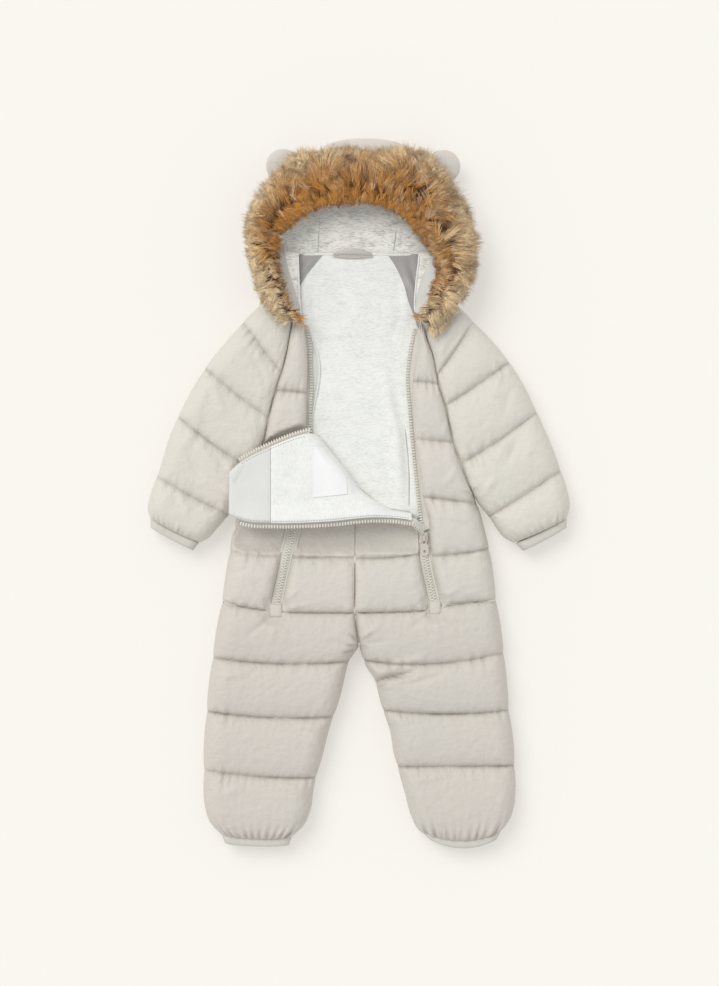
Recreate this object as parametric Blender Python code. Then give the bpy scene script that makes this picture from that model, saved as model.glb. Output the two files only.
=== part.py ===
"""Toddler's one-piece padded snowsuit with a fur-trimmed hood, laid out flat on its back.

Every table is in millimetres: +X to the right of the laid-out suit, +Y towards the hood,
+Z up from the surface it lies on.  The back panels lie on that surface, the linings lie on
them, the fronts lie on the linings, and the opened centre front lies folded on the fronts.
"left" and "right" are the sides as one looks down on the laid-out suit.
"""
import math

import bmesh
import bpy
from mathutils import Vector

MM = 0.001  # one millimetre in metres

# ---------------------------------------------------------------- driving sizes (mm)
SEAM_GAP = 0.3        # clear space between neighbouring pieces
RAGLAN_GAP = 0.6      # clear space along the curved sleeve seams, on the sleeve's side
BACK_THICK = 15.0     # padded back wall
LINING_THICK = 1.0    # jersey and woven linings
QUILT_CROWN = 24.0    # padded front wall between two quilt lines
QUILT_SEAM = 9.0      # the same wall where a quilt line is sewn through
EDGE_SOFT = 22.0      # reach of the rounding along an outer edge
SEAM_EDGE = 10.0      # wall height at a seam or a zip edge
FOLD_EDGE = 1.0       # wall height at an outer fold, where the front meets the back
SCALLOP = 2.4         # how far an outer edge swells between two quilt lines
FLAP_THICK = 8.0      # folded-over centre front, pressed flat
TAPE_THICK = 1.2      # zip tape
TEETH_HIGH = 3.0      # height of the row of zip teeth
TEETH_WIDE = 5.0      # width of a closed row of teeth
ZIP_WIDE = 12.0       # width of a closed zip, both tapes
PULL_LONG = 18.7      # zip pull from its hinge to its tip
PULL_WIDE = 8.6

Z_LINING = BACK_THICK + SEAM_GAP
Z_FRONT = Z_LINING + LINING_THICK + SEAM_GAP
Z_FLAP = Z_FRONT + QUILT_CROWN + SEAM_GAP
Z_FLAP_LINING = Z_FLAP + FLAP_THICK + SEAM_GAP
Z_ZIP = 22.0          # underside of the closed zips, in the valley between two panels

# Stations between two quilt lines: 0 is on the upper line, 1 on the next one.
PUFF_STATIONS = (0.0, 0.14, 0.37, 0.63, 0.86)
BACK_STATIONS = (0.0, 0.2, 0.5, 0.8)
BACK_INSETS = (0.0, 1.2, 4.0, 9.0)  # points across the rounded edge of a back wall
FOLD_INSETS = (11.0, 5.0, 1.5, 0.0)  # points across the rounded fold of a sleeve

# ---------------------------------------------------------------- seam and edge curves
# Each curve is x at falling y: (x, y) in mm.
SLEEVE_FOLD_LEFT = ((-106, 212), (-127, 191), (-150, 165), (-171, 138), (-191, 104), (-208, 68),
                    (-219, 33), (-229, 5), (-234, -16), (-231, -29), (-232, -39))
SLEEVE_FOLD_RIGHT = ((104, 212), (125, 191), (150, 165), (170, 139), (190, 103), (206, 68),
                     (220, 33), (229, 5), (232, -14), (229, -29), (230, -39))
RAGLAN_LEFT = ((-73, 198), (-75, 184), (-85, 135), (-91, 119), (-97, 96), (-102, 73),
               (-106, 54), (-114, 27), (-121, 10), (-124, 4))
RAGLAN_RIGHT = ((73, 190), (73, 174), (81, 151), (85, 130), (95, 92), (103, 58),
                (114, 25), (120.3, 10), (123, 4))
UNDERARM_LEFT = ((-124, 4), (-142, -12), (-152, -26), (-180, -55), (-184, -62))
UNDERARM_RIGHT = ((123, 4), (137, -12), (150, -26), (177, -55), (182, -62))
BACK_RAGLAN_LEFT = ((-40, 264), (-64, 232), (-79, 180), (-91, 130), (-100, 90), (-106, 54),
                    (-114, 27), (-121, 10), (-124, 4))
BACK_RAGLAN_RIGHT = ((31, 264), (39, 252), (48, 233), (54, 212), (62, 190), (78, 145), (92, 100),
                     (103, 58), (114, 25), (120.3, 10), (123, 4))
SIDE_LEFT = ((-124, 4), (-132, -18), (-138, -41), (-142, -60), (-146, -95), (-149, -119),
             (-154, -144), (-161, -183), (-168, -243), (-171, -304), (-169, -345), (-163, -363),
             (-150, -379), (-149, -386))
SIDE_RIGHT = ((123, 4), (131, -18), (137, -41), (142, -60), (147, -95), (150, -117), (158, -172),
              (163, -227), (170, -293), (170, -337), (165, -358), (153, -378), (152, -386))
INNER_LEFT = ((-5, 270), (-5, 100), (-5, -100), (-5, -131), (-3.2, -150), (-1.8, -166), (-9, -179),
              (-14, -190), (-22, -221), (-28, -242), (-35, -261), (-42, -288), (-49, -315),
              (-53, -333), (-55, -347), (-63, -366), (-76, -380), (-77, -387))
INNER_RIGHT = ((-5, 270), (-5, 100), (-5, -100), (-5, -131), (-2.8, -150), (0.6, -166), (8, -190),
               (18, -204), (22, -219), (26, -237), (35, -261), (39, -286), (44, -306), (51, -328),
               (58, -354), (68, -374), (78, -382), (80, -388))
FRONT_EDGE_LEFT = ((-61, 184), (-58, 160), (-57, 141), (-58, 109), (-59, 74), (-61, 62), (-72, -3),
                   (-80, -42), (-86.5, -69), (-98, -121), (-101, -135))
FRONT_EDGE_RIGHT = ((67, 191), (65.5, 183), (65, 162), (60, 135), (58, 119), (59, 90), (61, 59),
                    (66, 26), (71, -7), (76, -29), (77.5, -50), (79, -71), (89, -119), (92, -134))
ZIP_LEFT = ((-54.3, 62), (-65.5, -3), (-73.5, -42), (-80, -69), (-91.5, -121))
ZIP_RIGHT = ((70.3, -40), (71, -50), (72.5, -71), (82.5, -119))
TEETH_LEFT = ((-57, 182), (-54, 161), (-54, 145), (-53, 114), (-54, 93), (-54, 66))
TEETH_RIGHT = ((61, 182), (58.5, 172), (54.8, 151), (52.7, 127), (55.3, 93), (58, 59), (63.7, 4),
               (68, -30))
GUARD_LEFT = ((-57, 186), (-54.6, 178), (-47, 157), (-44, 140), (-45, 123), (-50, 98), (-54, 78))
LINING_LEFT = ((-40, 264), (-64, 232), (-70, 213), (-72, 180), (-72, 0), (-72, -45))
LINING_RIGHT = ((31, 264), (39, 252), (48, 233), (54, 212), (62, 190), (68, 165), (71, 120),
                (73, 0), (74, -45))
# The seam between the body and the legs: y at rising x.
HIP_LEFT = ((-155, -118.5), (-125, -124.8), (-100, -128.4), (-84, -130), (-3, -131))
HIP_RIGHT = ((-7, -131), (42, -130), (73, -128), (90, -125), (108, -121), (155, -117))
# The folded centre front: y at rising x.
FLAP_TOP = ((-144, 24), (-130, 36), (-97, 53), (-63, 66), (-53, 67.5), (-45, 63), (-32, 47),
            (-20, 33), (-10, 20), (1, 5), (21, -9), (37, -17), (52, -19.5), (61, -21))
FLAP_BOTTOM = ((-144, -22), (-124, -29), (-96, -31), (-69, -31), (-30, -29), (11, -25),
               (37, -26), (52, -29), (61, -31))

# Quilt lines: y where a line meets the left edge and the right edge, and how far its middle
# hangs towards the feet.
BODY_LINES_LEFT = (
    {"left": 192, "right": 184, "sag": -3},
    {"left": 114, "right": 111, "sag": 0},
    {"left": 52, "right": 56, "sag": 0},
    {"left": -4, "right": 0, "sag": 0},
    {"left": -64, "right": -68, "sag": 1},
    {"left": -119.5, "right": -128.7, "sag": 2},
)
BODY_LINES_RIGHT = (
    {"left": 190, "right": 177, "sag": -2},
    {"left": 124, "right": 121, "sag": 0},
    {"left": 59.5, "right": 57, "sag": 0},
    {"left": -3, "right": -11, "sag": 0},
    {"left": -68, "right": -60, "sag": 2},
    {"left": -125.5, "right": -117.3, "sag": 2},
)
CENTRE_LINES_LEFT = (
    {"left": 61, "right": 12, "sag": 3},
    {"left": -2, "right": -12, "sag": 0},
    {"left": -69, "right": -71, "sag": 0},
    {"left": -130, "right": -131, "sag": 0},
)
CENTRE_LINES_RIGHT = (
    {"left": 12, "right": -24, "sag": 8},
    {"left": -71, "right": -66, "sag": 2},
    {"left": -131, "right": -127.8, "sag": 0},
)
LEG_LINES_LEFT = (
    {"left": -119.6, "right": -131, "sag": 5},
    {"left": -180, "right": -184, "sag": 5},
    {"left": -239, "right": -245, "sag": 4},
    {"left": -304, "right": -312, "sag": 3},
    {"left": -377, "right": -379, "sag": 2},
)
LEG_LINES_RIGHT = (
    {"left": -131, "right": -117, "sag": 4},
    {"left": -183, "right": -175, "sag": 8},
    {"left": -238, "right": -238, "sag": 4},
    {"left": -300, "right": -299, "sag": 0},
    {"left": -372, "right": -372, "sag": 10},
)
BACK_LINES_LEFT = (
    {"left": 263.7, "right": 263.7, "sag": 0},
    {"left": 190, "right": 190, "sag": 0},
    {"left": 122, "right": 122, "sag": 0},
    {"left": 54, "right": 54, "sag": 0},
    {"left": -4, "right": -6, "sag": 0},
    {"left": -64, "right": -70, "sag": 0},
) + LEG_LINES_LEFT
BACK_LINES_RIGHT = (
    {"left": 263.7, "right": 263.7, "sag": 0},
    {"left": 190, "right": 190, "sag": 0},
    {"left": 122, "right": 122, "sag": 0},
    {"left": 54, "right": 54, "sag": 0},
    {"left": -6, "right": -4, "sag": 0},
    {"left": -70, "right": -64, "sag": 0},
) + LEG_LINES_RIGHT
# Sleeve lines: y at the outer fold, at the front seam and at the back seam.
SLEEVE_LINES_LEFT = (
    {"fold": 211, "front": 196, "back": 263, "sag": 0, "back_sag": -18},
    {"fold": 189, "front": 133, "back": 170, "sag": 2, "back_sag": 0},
    {"fold": 138, "front": 83, "back": 95, "sag": 2, "back_sag": 0},
    {"fold": 85, "front": 24, "back": 26, "sag": 3, "back_sag": 0},
    {"fold": 19, "front": -23, "back": -23, "sag": 2, "back_sag": 0},
    {"fold": -28, "front": -54, "back": -54, "sag": 1, "back_sag": 0},
)
SLEEVE_LINES_RIGHT = (
    {"fold": 211, "front": 178, "back": 263, "sag": 0, "back_sag": -18},
    {"fold": 190, "front": 130, "back": 165, "sag": 2, "back_sag": 0},
    {"fold": 145, "front": 97, "back": 105, "sag": 2, "back_sag": 0},
    {"fold": 90, "front": 33, "back": 34, "sag": 3, "back_sag": 0},
    {"fold": 26, "front": -25, "back": -25, "sag": 2, "back_sag": 0},
    {"fold": -28, "front": -54, "back": -54, "sag": 1, "back_sag": 0},
)
CUFF_LINES = (
    {"fold": -28.6, "front": -54.6, "back": -54.6, "sag": 1, "back_sag": 1},
    {"fold": -37, "front": -61, "back": -61, "sag": 0, "back_sag": 0},
)

# Hood side panels, as lines fanned out from the neck: inner end, outer end, and how much the
# line belongs to the arm of the hood that lies on the back of the sleeve (1) or to the part
# that lies on the surface (0).
HOOD_FAN_LEFT = (
    {"inner": (-64, 193), "outer": (-76, 200), "arm": 1},
    {"inner": (-66, 214), "outer": (-100, 218), "arm": 1},
    {"inner": (-67, 240), "outer": (-113, 238), "arm": 1},
    {"inner": (-67, 263), "outer": (-118, 264), "arm": 1},
    {"inner": (-60, 265.5), "outer": (-118, 290), "arm": 0},
    {"inner": (-54, 264.6), "outer": (-110, 318), "arm": 0},
    {"inner": (-50, 264.6), "outer": (-95, 342), "arm": 0},
    {"inner": (-47.5, 264.6), "outer": (-71, 366), "arm": 0},
    {"inner": (-46, 264.6), "outer": (-40, 383), "arm": 0},
)
HOOD_FAN_RIGHT = (
    {"inner": (61, 200), "outer": (75, 194), "arm": 1},
    {"inner": (61, 216), "outer": (98, 213), "arm": 1},
    {"inner": (63, 238), "outer": (113, 234), "arm": 1},
    {"inner": (65, 263), "outer": (120, 263), "arm": 1},
    {"inner": (57, 265.5), "outer": (121, 290), "arm": 0},
    {"inner": (50, 264.6), "outer": (113, 318), "arm": 0},
    {"inner": (44, 264.6), "outer": (99, 344), "arm": 0},
    {"inner": (39.5, 264.6), "outer": (79, 366), "arm": 0},
    {"inner": (37, 264.6), "outer": (52, 380), "arm": 0},
)
# Height of a hood side panel along a fan line.
HOOD_PROFILE = (
    {"at": 0.0, "floor": 12.0, "arm": 23.0},
    {"at": 0.28, "floor": 12.5, "arm": 25.0},
    {"at": 0.52, "floor": 16.0, "arm": 28.0},
    {"at": 0.70, "floor": 27.0, "arm": 32.0},
    {"at": 0.82, "floor": 34.0, "arm": 34.0},
    {"at": 0.93, "floor": 33.0, "arm": 32.0},
    {"at": 1.0, "floor": 28.0, "arm": 27.0},
)
RIM_AT = 0.82         # where a hood lining ends, under the fur
# Height of the hood's middle panel from the neck to the crown.
HOOD_MIDDLE = (
    {"y": 264.6, "top": 12.0, "under": 0.0},
    {"y": 300, "top": 12.5, "under": 0.0},
    {"y": 330, "top": 15.0, "under": 0.0},
    {"y": 348, "top": 25.0, "under": 0.0},
    {"y": 360, "top": 34.0, "under": 0.0},
    {"y": 374, "top": 35.0, "under": 0.0},
    {"y": 383, "top": 30.0, "under": 4.0},
    {"y": 386, "top": 22.0, "under": 10.0},
)
CROWN_BOW = 5.0       # how far the crown bows out beyond its corners
HOOD_MIDDLE_LEFT = ((-46, 264.6), (-40, 383), (-39, 392))
HOOD_MIDDLE_RIGHT = ((37, 264.6), (52, 380), (53, 392))

# Fur trim: the inner and the outer tips of the fur, and the height of its underside.
FUR_LINES = (
    {"inner": (-68, 188), "outer": (-76, 192), "under": 41},
    {"inner": (-76, 204), "outer": (-94, 199), "under": 41},
    {"inner": (-84, 228), "outer": (-112, 219), "under": 41},
    {"inner": (-89, 254), "outer": (-122, 252), "under": 38},
    {"inner": (-87, 280), "outer": (-127, 287), "under": 36},
    {"inner": (-76, 294), "outer": (-120, 319), "under": 36},
    {"inner": (-59, 305), "outer": (-101, 350), "under": 36},
    {"inner": (-37, 314), "outer": (-68, 376), "under": 36},
    {"inner": (-10, 317), "outer": (-22, 385), "under": 36},
    {"inner": (18, 316), "outer": (32, 386), "under": 36},
    {"inner": (41, 307), "outer": (74, 376), "under": 36},
    {"inner": (57, 291), "outer": (103, 346), "under": 36},
    {"inner": (71, 273), "outer": (124, 309), "under": 36},
    {"inner": (82, 254), "outer": (132, 270), "under": 36},
    {"inner": (84, 236), "outer": (126, 235), "under": 38},
    {"inner": (78, 218), "outer": (110, 204), "under": 41},
    {"inner": (70, 188), "outer": (78, 178), "under": 41},
)
FUR_SECTION = (  # along the line from the inner tips, and height over the underside
    (0.0, 9.0), (0.10, 2.5), (0.30, 0.0), (0.62, 0.0), (0.86, -1.0), (1.0, 1.5),
    (0.96, 9.0), (0.80, 18.0), (0.56, 24.0), (0.32, 23.5), (0.12, 18.0),
)
FUR_STEPS = 4         # stations between two of the lines above
FUR_TUFT = 0.05       # how much every second station stands out

# Where the quilting is pinched down: centre and radius of the flat spot.
ZIP_ENDS = ((-92, -127), (83, -124))
ZIP_END_FLAT = 19.0
ZIP_END_RISE = 0.6

# ---------------------------------------------------------------- finishes
FINISHES = {  # colour, roughness, metallic
    "shell": ((0.66, 0.62, 0.57), 0.55, 0.0),
    "jersey": ((0.80, 0.80, 0.77), 0.95, 0.0),
    "facing": ((0.74, 0.74, 0.71), 0.8, 0.0),
    "sleeve_lining": ((0.36, 0.35, 0.35), 0.6, 0.0),
    "fur": ((0.45, 0.26, 0.12), 0.95, 0.0),
    "zip_tape": ((0.62, 0.60, 0.56), 0.85, 0.0),
    "slider": ((0.60, 0.57, 0.53), 0.35, 0.4),
    "binding": ((0.62, 0.58, 0.53), 0.75, 0.0),
    "label": ((0.90, 0.90, 0.90), 0.7, 0.0),
}


def finish(name):
    """One Principled material for each finish."""
    if name in bpy.data.materials:
        return bpy.data.materials[name]
    colour, roughness, metallic = FINISHES[name]
    material = bpy.data.materials.new(name)
    material.use_nodes = True
    shader = material.node_tree.nodes["Principled BSDF"]
    shader.inputs["Base Color"].default_value = (*colour, 1.0)
    shader.inputs["Roughness"].default_value = roughness
    shader.inputs["Metallic"].default_value = metallic
    return material


# ---------------------------------------------------------------- curves
def smooth_table(points, at):
    """Value of a smooth curve through (key, value) pairs whose keys rise or fall."""
    keys = [key for key, _ in points]
    if keys[0] > keys[-1]:
        points = points[::-1]
        keys = keys[::-1]
    at = min(max(at, keys[0]), keys[-1])
    i = max(k for k in range(len(keys) - 1) if keys[k] <= at)
    (k0, v0), (k1, v1) = points[i], points[i + 1]
    chord = (v1 - v0) / (k1 - k0)

    def slope(j):
        if j in (0, len(points) - 1):
            return chord
        before = (points[j][1] - points[j - 1][1]) / (keys[j] - keys[j - 1])
        after = (points[j + 1][1] - points[j][1]) / (keys[j + 1] - keys[j])
        return 0.5 * (before + after)

    t = (at - k0) / (k1 - k0)
    m0, m1 = slope(i) * (k1 - k0), slope(i + 1) * (k1 - k0)
    return ((2 * t**3 - 3 * t**2 + 1) * v0 + (t**3 - 2 * t**2 + t) * m0
            + (3 * t**2 - 2 * t**3) * v1 + (t**3 - t**2) * m1)


def x_at(curve, y):
    """x of an edge curve at y."""
    return smooth_table([(py, px) for px, py in curve], y)


def y_at(curve, x):
    """y of a curve that runs from side to side, at x."""
    return smooth_table(list(curve), x)


def mix(a, b, t):
    return a + (b - a) * t


def mix_point(p, q, t):
    return tuple(mix(a, b, t) for a, b in zip(p, q))


def spread(count, to_edges=0.75):
    """Fractions from 0 to 1 that crowd towards both ends."""
    even = [i / (count - 1) for i in range(count)]
    return [mix(s, 0.5 - 0.5 * math.cos(math.pi * s), to_edges) for s in even]


def puff(t):
    """How far the padding has risen, a share t of the way from one quilt line to the next."""
    return math.sqrt(max(0.0, 4 * t * (1 - t)))


# ---------------------------------------------------------------- solids
def add_object(name, mesh, finish_name):
    mesh.name = name
    obj = bpy.data.objects.new(name, mesh)
    mesh.materials.append(finish(finish_name))
    snowsuit.objects.link(obj)
    return obj


def loft(name, rings, finish_name):
    """A closed solid through rings of equally many points (mm), with a face on each end."""
    bm = bmesh.new()
    loops = [[bm.verts.new(Vector(p) * MM) for p in ring] for ring in rings]
    count = len(rings[0])
    for low, high in zip(loops, loops[1:]):
        for i in range(count):
            j = (i + 1) % count
            bm.faces.new((low[i], low[j], high[j], high[i]))
    bm.faces.new(loops[0][::-1])
    bm.faces.new(loops[-1])
    bmesh.ops.remove_doubles(bm, verts=bm.verts, dist=1e-6)
    bmesh.ops.triangulate(bm, faces=bm.faces)
    bmesh.ops.recalc_face_normals(bm, faces=bm.faces)
    mesh = bpy.data.meshes.new(name)
    bm.to_mesh(mesh)
    bm.free()
    mesh.shade_smooth()
    mesh.set_sharp_from_angle(angle=math.radians(50))
    return add_object(name, mesh, finish_name)


def numbered_stations(lines, stations=PUFF_STATIONS):
    """Every station of a quilted panel: its row, its blended line, and its share of a puff."""
    for row, (upper, lower) in enumerate(zip(lines, lines[1:])):
        for t in stations:
            yield row, {key: mix(upper[key], lower[key], t) for key in upper}, t
    yield len(lines) - 1, dict(lines[-1]), 0.0


def line_stations(lines, stations=PUFF_STATIONS):
    for _, line, t in numbered_stations(lines, stations):
        yield line, t


def wall(distance, edge, crown, soft):
    """Wall height at a distance from an edge that is `edge` high, rounding up to `crown`."""
    f = min(1.0, max(0.0, distance) / soft)
    return edge + (crown - edge) * math.sqrt(max(0.0, 1 - (1 - f) ** 2))


def pinch(x, y, height):
    """The wall is held down round the end of each zip."""
    for cx, cy in ZIP_ENDS:
        room = max(0.0, math.hypot(x - cx, y - cy) - ZIP_END_FLAT)
        height = min(height, QUILT_SEAM - 0.2 + ZIP_END_RISE * room)
    return height


def line_y(line, s):
    """y of a quilt line, a share s of the way from its left end to its right end."""
    return mix(line["left"], line["right"], s) - line["sag"] * 4 * s * (1 - s)


def quilted_front(name, left, right, lines, edges, across=11, gathers=0, head=None, foot=None):
    """A front panel on the linings: flat inside, quilted outside.

    left and right are edge curves; edges gives, for a y, how high the wall stands at each
    edge; an edge that is FOLD_EDGE high is an outer edge, and swells between quilt lines.
    head and foot are the seams that the first and the last line follow, if they are shared
    with another piece.
    """
    shares = spread(across)
    above, bottom = lines[-2:]
    rings = []
    for row, line, t in numbered_stations(lines):
        rise = puff(t)
        crown = mix(QUILT_SEAM, QUILT_CROWN, rise)
        ends = []
        for side, curve, sign in (("left", left, 1), ("right", right, -1)):
            y = line[side]
            high = edges(side, y)
            x = x_at(curve, y) + sign * SEAM_GAP / 2
            if high <= FOLD_EDGE:
                x -= sign * SCALLOP * (rise - 0.6)
            ends.append((x, y, high))
        (xl, yl, high_l), (xr, yr, high_r) = ends
        width = math.hypot(xr - xl, yr - yl)
        hem = max(0.0, (above["left"] - line["left"]) / (above["left"] - bottom["left"]))

        def place(s):
            x, y = mix(xl, xr, s), line_y(line, s)
            if head and row == 0:
                y += (y_at(head, x) - SEAM_GAP - line_y(lines[0], s)) * (1 - t) ** 2
            if foot and row >= len(lines) - 2:
                rest = row + t - len(lines) + 2
                y += (y_at(foot, x) + 1.5 * SEAM_GAP - line_y(bottom, s)) * rest**2
            return x, y

        ring = []
        for s in shares:
            x, y = place(s)
            height = min(wall(s * width, high_l, crown, EDGE_SOFT if high_l <= FOLD_EDGE else 12),
                         wall((1 - s) * width, high_r, crown,
                              EDGE_SOFT if high_r <= FOLD_EDGE else 12))
            if gathers:
                ripple = 1.6 * hem**2 * math.cos(2 * math.pi * gathers * s)
                height += ripple * min(1.0, height / QUILT_SEAM) * min(1, 12 * s, 12 * (1 - s))
            ring.append((x, y, Z_FRONT + max(0.6, pinch(x, y, height))))
        for s in (1.0, 0.75, 0.5, 0.25, 0.0):
            ring.append((*place(s), Z_FRONT))
        rings.append(ring)
    return loft(name, rings, "shell")


def rolled_under(inset, reach, edge=FOLD_EDGE):
    """Height of a back wall's underside near a rounded outer edge that is `edge` thick."""
    lift = BACK_THICK * (1 - math.sqrt(1 - (1 - inset / reach) ** 2))
    return min(lift, BACK_THICK - edge)


def back_panel(name, left, right, lines, outer):
    """A back half: flat on the surface, rounded and scalloped along its outer edges."""
    rings = []
    for line, t in line_stations(lines, BACK_STATIONS):
        ends = []
        for side, curve, sign in (("left", left, 1), ("right", right, -1)):
            y = line[side]
            x = x_at(curve, y) + sign * SEAM_GAP / 2
            rounded = outer(side, y)
            if rounded:
                x -= sign * SCALLOP * (puff(t) - 0.6)
            ends.append((x, rounded))
        (xl, round_l), (xr, round_r) = ends
        width = abs(xr - xl)
        ring = [(mix(xl, xr, s), line_y(line, s), BACK_THICK) for s in (0.0, 0.5, 1.0)]
        for inset in BACK_INSETS:
            s = 1 - inset / width
            lift = rolled_under(inset, BACK_INSETS[-1]) if round_r else 0.0
            ring.append((mix(xl, xr, s), line_y(line, s), lift))
        for inset in BACK_INSETS[::-1]:
            s = inset / width
            lift = rolled_under(inset, BACK_INSETS[-1]) if round_l else 0.0
            ring.append((mix(xl, xr, s), line_y(line, s), lift))
        rings.append(ring)
    return loft(name, rings, "shell")


def folded_sleeve(name, fold, front, back, lines, seam_until, crown_to, under, finish_name,
                  gathers=0, across=11):
    """A one-piece sleeve or cuff, folded flat: front layer, outer fold and back layer.

    The two layers part along the seam.  seam_until is the y down to which the front edge is
    sewn to the body, and stands SEAM_EDGE high; below it the edge is rounded.
    """
    sign = 1 if fold[0][0] < 0 else -1
    shares = spread(across)
    slot_from = 4.0
    above, bottom = lines[-2:]
    rings = []
    for line, t in line_stations(lines):
        rise = puff(t)
        crown = mix(QUILT_SEAM, crown_to, rise)
        xf = x_at(fold, line["fold"]) - sign * SCALLOP * (rise - 0.6)
        xa = x_at(front, line["front"]) - sign * RAGLAN_GAP
        xb = x_at(back, line["back"]) - sign * RAGLAN_GAP
        seam = SEAM_EDGE if line["front"] > seam_until else FOLD_EDGE
        hem = max(0.0, (above["fold"] - line["fold"]) / (above["fold"] - bottom["fold"]))

        def layer(s, x_in, y_in, sag):
            return mix(xf, x_in, s), mix(line["fold"], y_in, s) - sag * 4 * s * (1 - s)

        front_width = math.hypot(xa - xf, line["front"] - line["fold"])
        back_width = math.hypot(xb - xf, line["back"] - line["fold"])
        ring = []
        for s in shares:
            height = min(wall(s * front_width, 0.0, crown, EDGE_SOFT),
                         wall((1 - s) * front_width, seam, crown, EDGE_SOFT))
            if gathers:
                ripple = 1.4 * hem**2 * math.cos(2 * math.pi * gathers * s)
                height += ripple * min(1, 10 * s, 10 * (1 - s))
            ring.append((*layer(s, xa, line["front"], line["sag"]), Z_FRONT + max(0.0, height)))
        ring.append((*layer(1.0, xa, line["front"], line["sag"]), Z_FRONT))
        ring.append((*layer(slot_from / front_width, xa, line["front"], line["sag"]), Z_FRONT))
        ring.append((*layer(slot_from / back_width, xb, line["back"], line["back_sag"]),
                     BACK_THICK))
        ring.append((*layer(0.55, xb, line["back"], line["back_sag"]), BACK_THICK))
        ring.append((*layer(1.0, xb, line["back"], line["back_sag"]), BACK_THICK))
        for inset in BACK_INSETS:
            s = 1 - inset / back_width
            lift = rolled_under(inset, BACK_INSETS[-1]) if seam == FOLD_EDGE else 0.0
            ring.append((*layer(s, xb, line["back"], line["back_sag"]), max(under, lift)))
        ring.append((*layer(0.5, xb, line["back"], line["back_sag"]), under))
        for inset in FOLD_INSETS:
            s = inset / back_width
            lift = rolled_under(inset, FOLD_INSETS[0], edge=0.0)
            ring.append((*layer(s, xb, line["back"], line["back_sag"]), max(under, lift)))
        rings.append(ring)
    return loft(name, rings, finish_name)


def thin_panel(name, left, right, lines, z_low, thick, finish_name):
    """A flat piece of cloth or tape between two edge curves."""
    rings = []
    for line, _ in line_stations(lines, (0.0, 0.5)):
        xl = x_at(left, line["left"]) + SEAM_GAP / 2
        xr = x_at(right, line["right"]) - SEAM_GAP / 2
        low = [(mix(xl, xr, s), line_y(line, s)) for s in (0.0, 0.5, 1.0)]
        rings.append([(x, y, z_low) for x, y in low]
                     + [(x, y, z_low + thick) for x, y in low[::-1]])
    return loft(name, rings, finish_name)


def plain_lines(*rows):
    return tuple({"left": left, "right": right, "sag": 0} for left, right in rows)


# ---------------------------------------------------------------- pieces
def make_backs():
    back_panel("back_left", BACK_RAGLAN_LEFT + SIDE_LEFT[1:], INNER_LEFT, BACK_LINES_LEFT,
               lambda side, y: y < 2 if side == "left" else y < -170)
    back_panel("back_right", INNER_RIGHT, BACK_RAGLAN_RIGHT + SIDE_RIGHT[1:], BACK_LINES_RIGHT,
               lambda side, y: y < 2 if side == "right" else y < -170)


def make_fronts():
    """Side fronts between sleeve and zip, centre fronts between the zips, and the legs."""
    quilted_front("side_front_left", RAGLAN_LEFT + SIDE_LEFT[1:], FRONT_EDGE_LEFT,
                  BODY_LINES_LEFT,
                  lambda side, y: FOLD_EDGE if side == "left" and y < 2 else SEAM_EDGE,
                  foot=HIP_LEFT)
    quilted_front("side_front_right", FRONT_EDGE_RIGHT, RAGLAN_RIGHT + SIDE_RIGHT[1:],
                  BODY_LINES_RIGHT,
                  lambda side, y: FOLD_EDGE if side == "right" and y < 2 else SEAM_EDGE,
                  foot=HIP_RIGHT)
    quilted_front("centre_front_left", offset(ZIP_LEFT, ZIP_WIDE / 2), INNER_LEFT,
                  CENTRE_LINES_LEFT, lambda side, y: SEAM_EDGE, foot=HIP_LEFT)
    quilted_front("centre_front_right", INNER_RIGHT, offset(ZIP_RIGHT, -ZIP_WIDE / 2),
                  CENTRE_LINES_RIGHT, lambda side, y: SEAM_EDGE, foot=HIP_RIGHT)
    quilted_front("leg_front_left", SIDE_LEFT, INNER_LEFT, LEG_LINES_LEFT,
                  lambda side, y: SEAM_EDGE if side == "right" and y > -170 else FOLD_EDGE,
                  across=17, gathers=6, head=HIP_LEFT)
    quilted_front("leg_front_right", INNER_RIGHT, SIDE_RIGHT, LEG_LINES_RIGHT,
                  lambda side, y: SEAM_EDGE if side == "left" and y > -170 else FOLD_EDGE,
                  across=17, gathers=6, head=HIP_RIGHT)


def offset(curve, dx):
    return tuple((x + dx, y) for x, y in curve)


def make_sleeves():
    folded_sleeve("sleeve_left", SLEEVE_FOLD_LEFT, RAGLAN_LEFT + UNDERARM_LEFT[1:],
                  BACK_RAGLAN_LEFT + UNDERARM_LEFT[1:], SLEEVE_LINES_LEFT, 2, QUILT_CROWN, 0.0,
                  "shell", gathers=5, across=13)
    folded_sleeve("sleeve_right", SLEEVE_FOLD_RIGHT, RAGLAN_RIGHT + UNDERARM_RIGHT[1:],
                  BACK_RAGLAN_RIGHT + UNDERARM_RIGHT[1:], SLEEVE_LINES_RIGHT, 2, QUILT_CROWN, 0.0,
                  "shell", gathers=5, across=13)
    for side, fold, inner in (("left", SLEEVE_FOLD_LEFT, UNDERARM_LEFT),
                              ("right", SLEEVE_FOLD_RIGHT, UNDERARM_RIGHT)):
        folded_sleeve(f"cuff_binding_{side}", fold, inner, inner, CUFF_LINES, 300, QUILT_SEAM, 5.0,
                      "binding", across=9)


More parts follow.
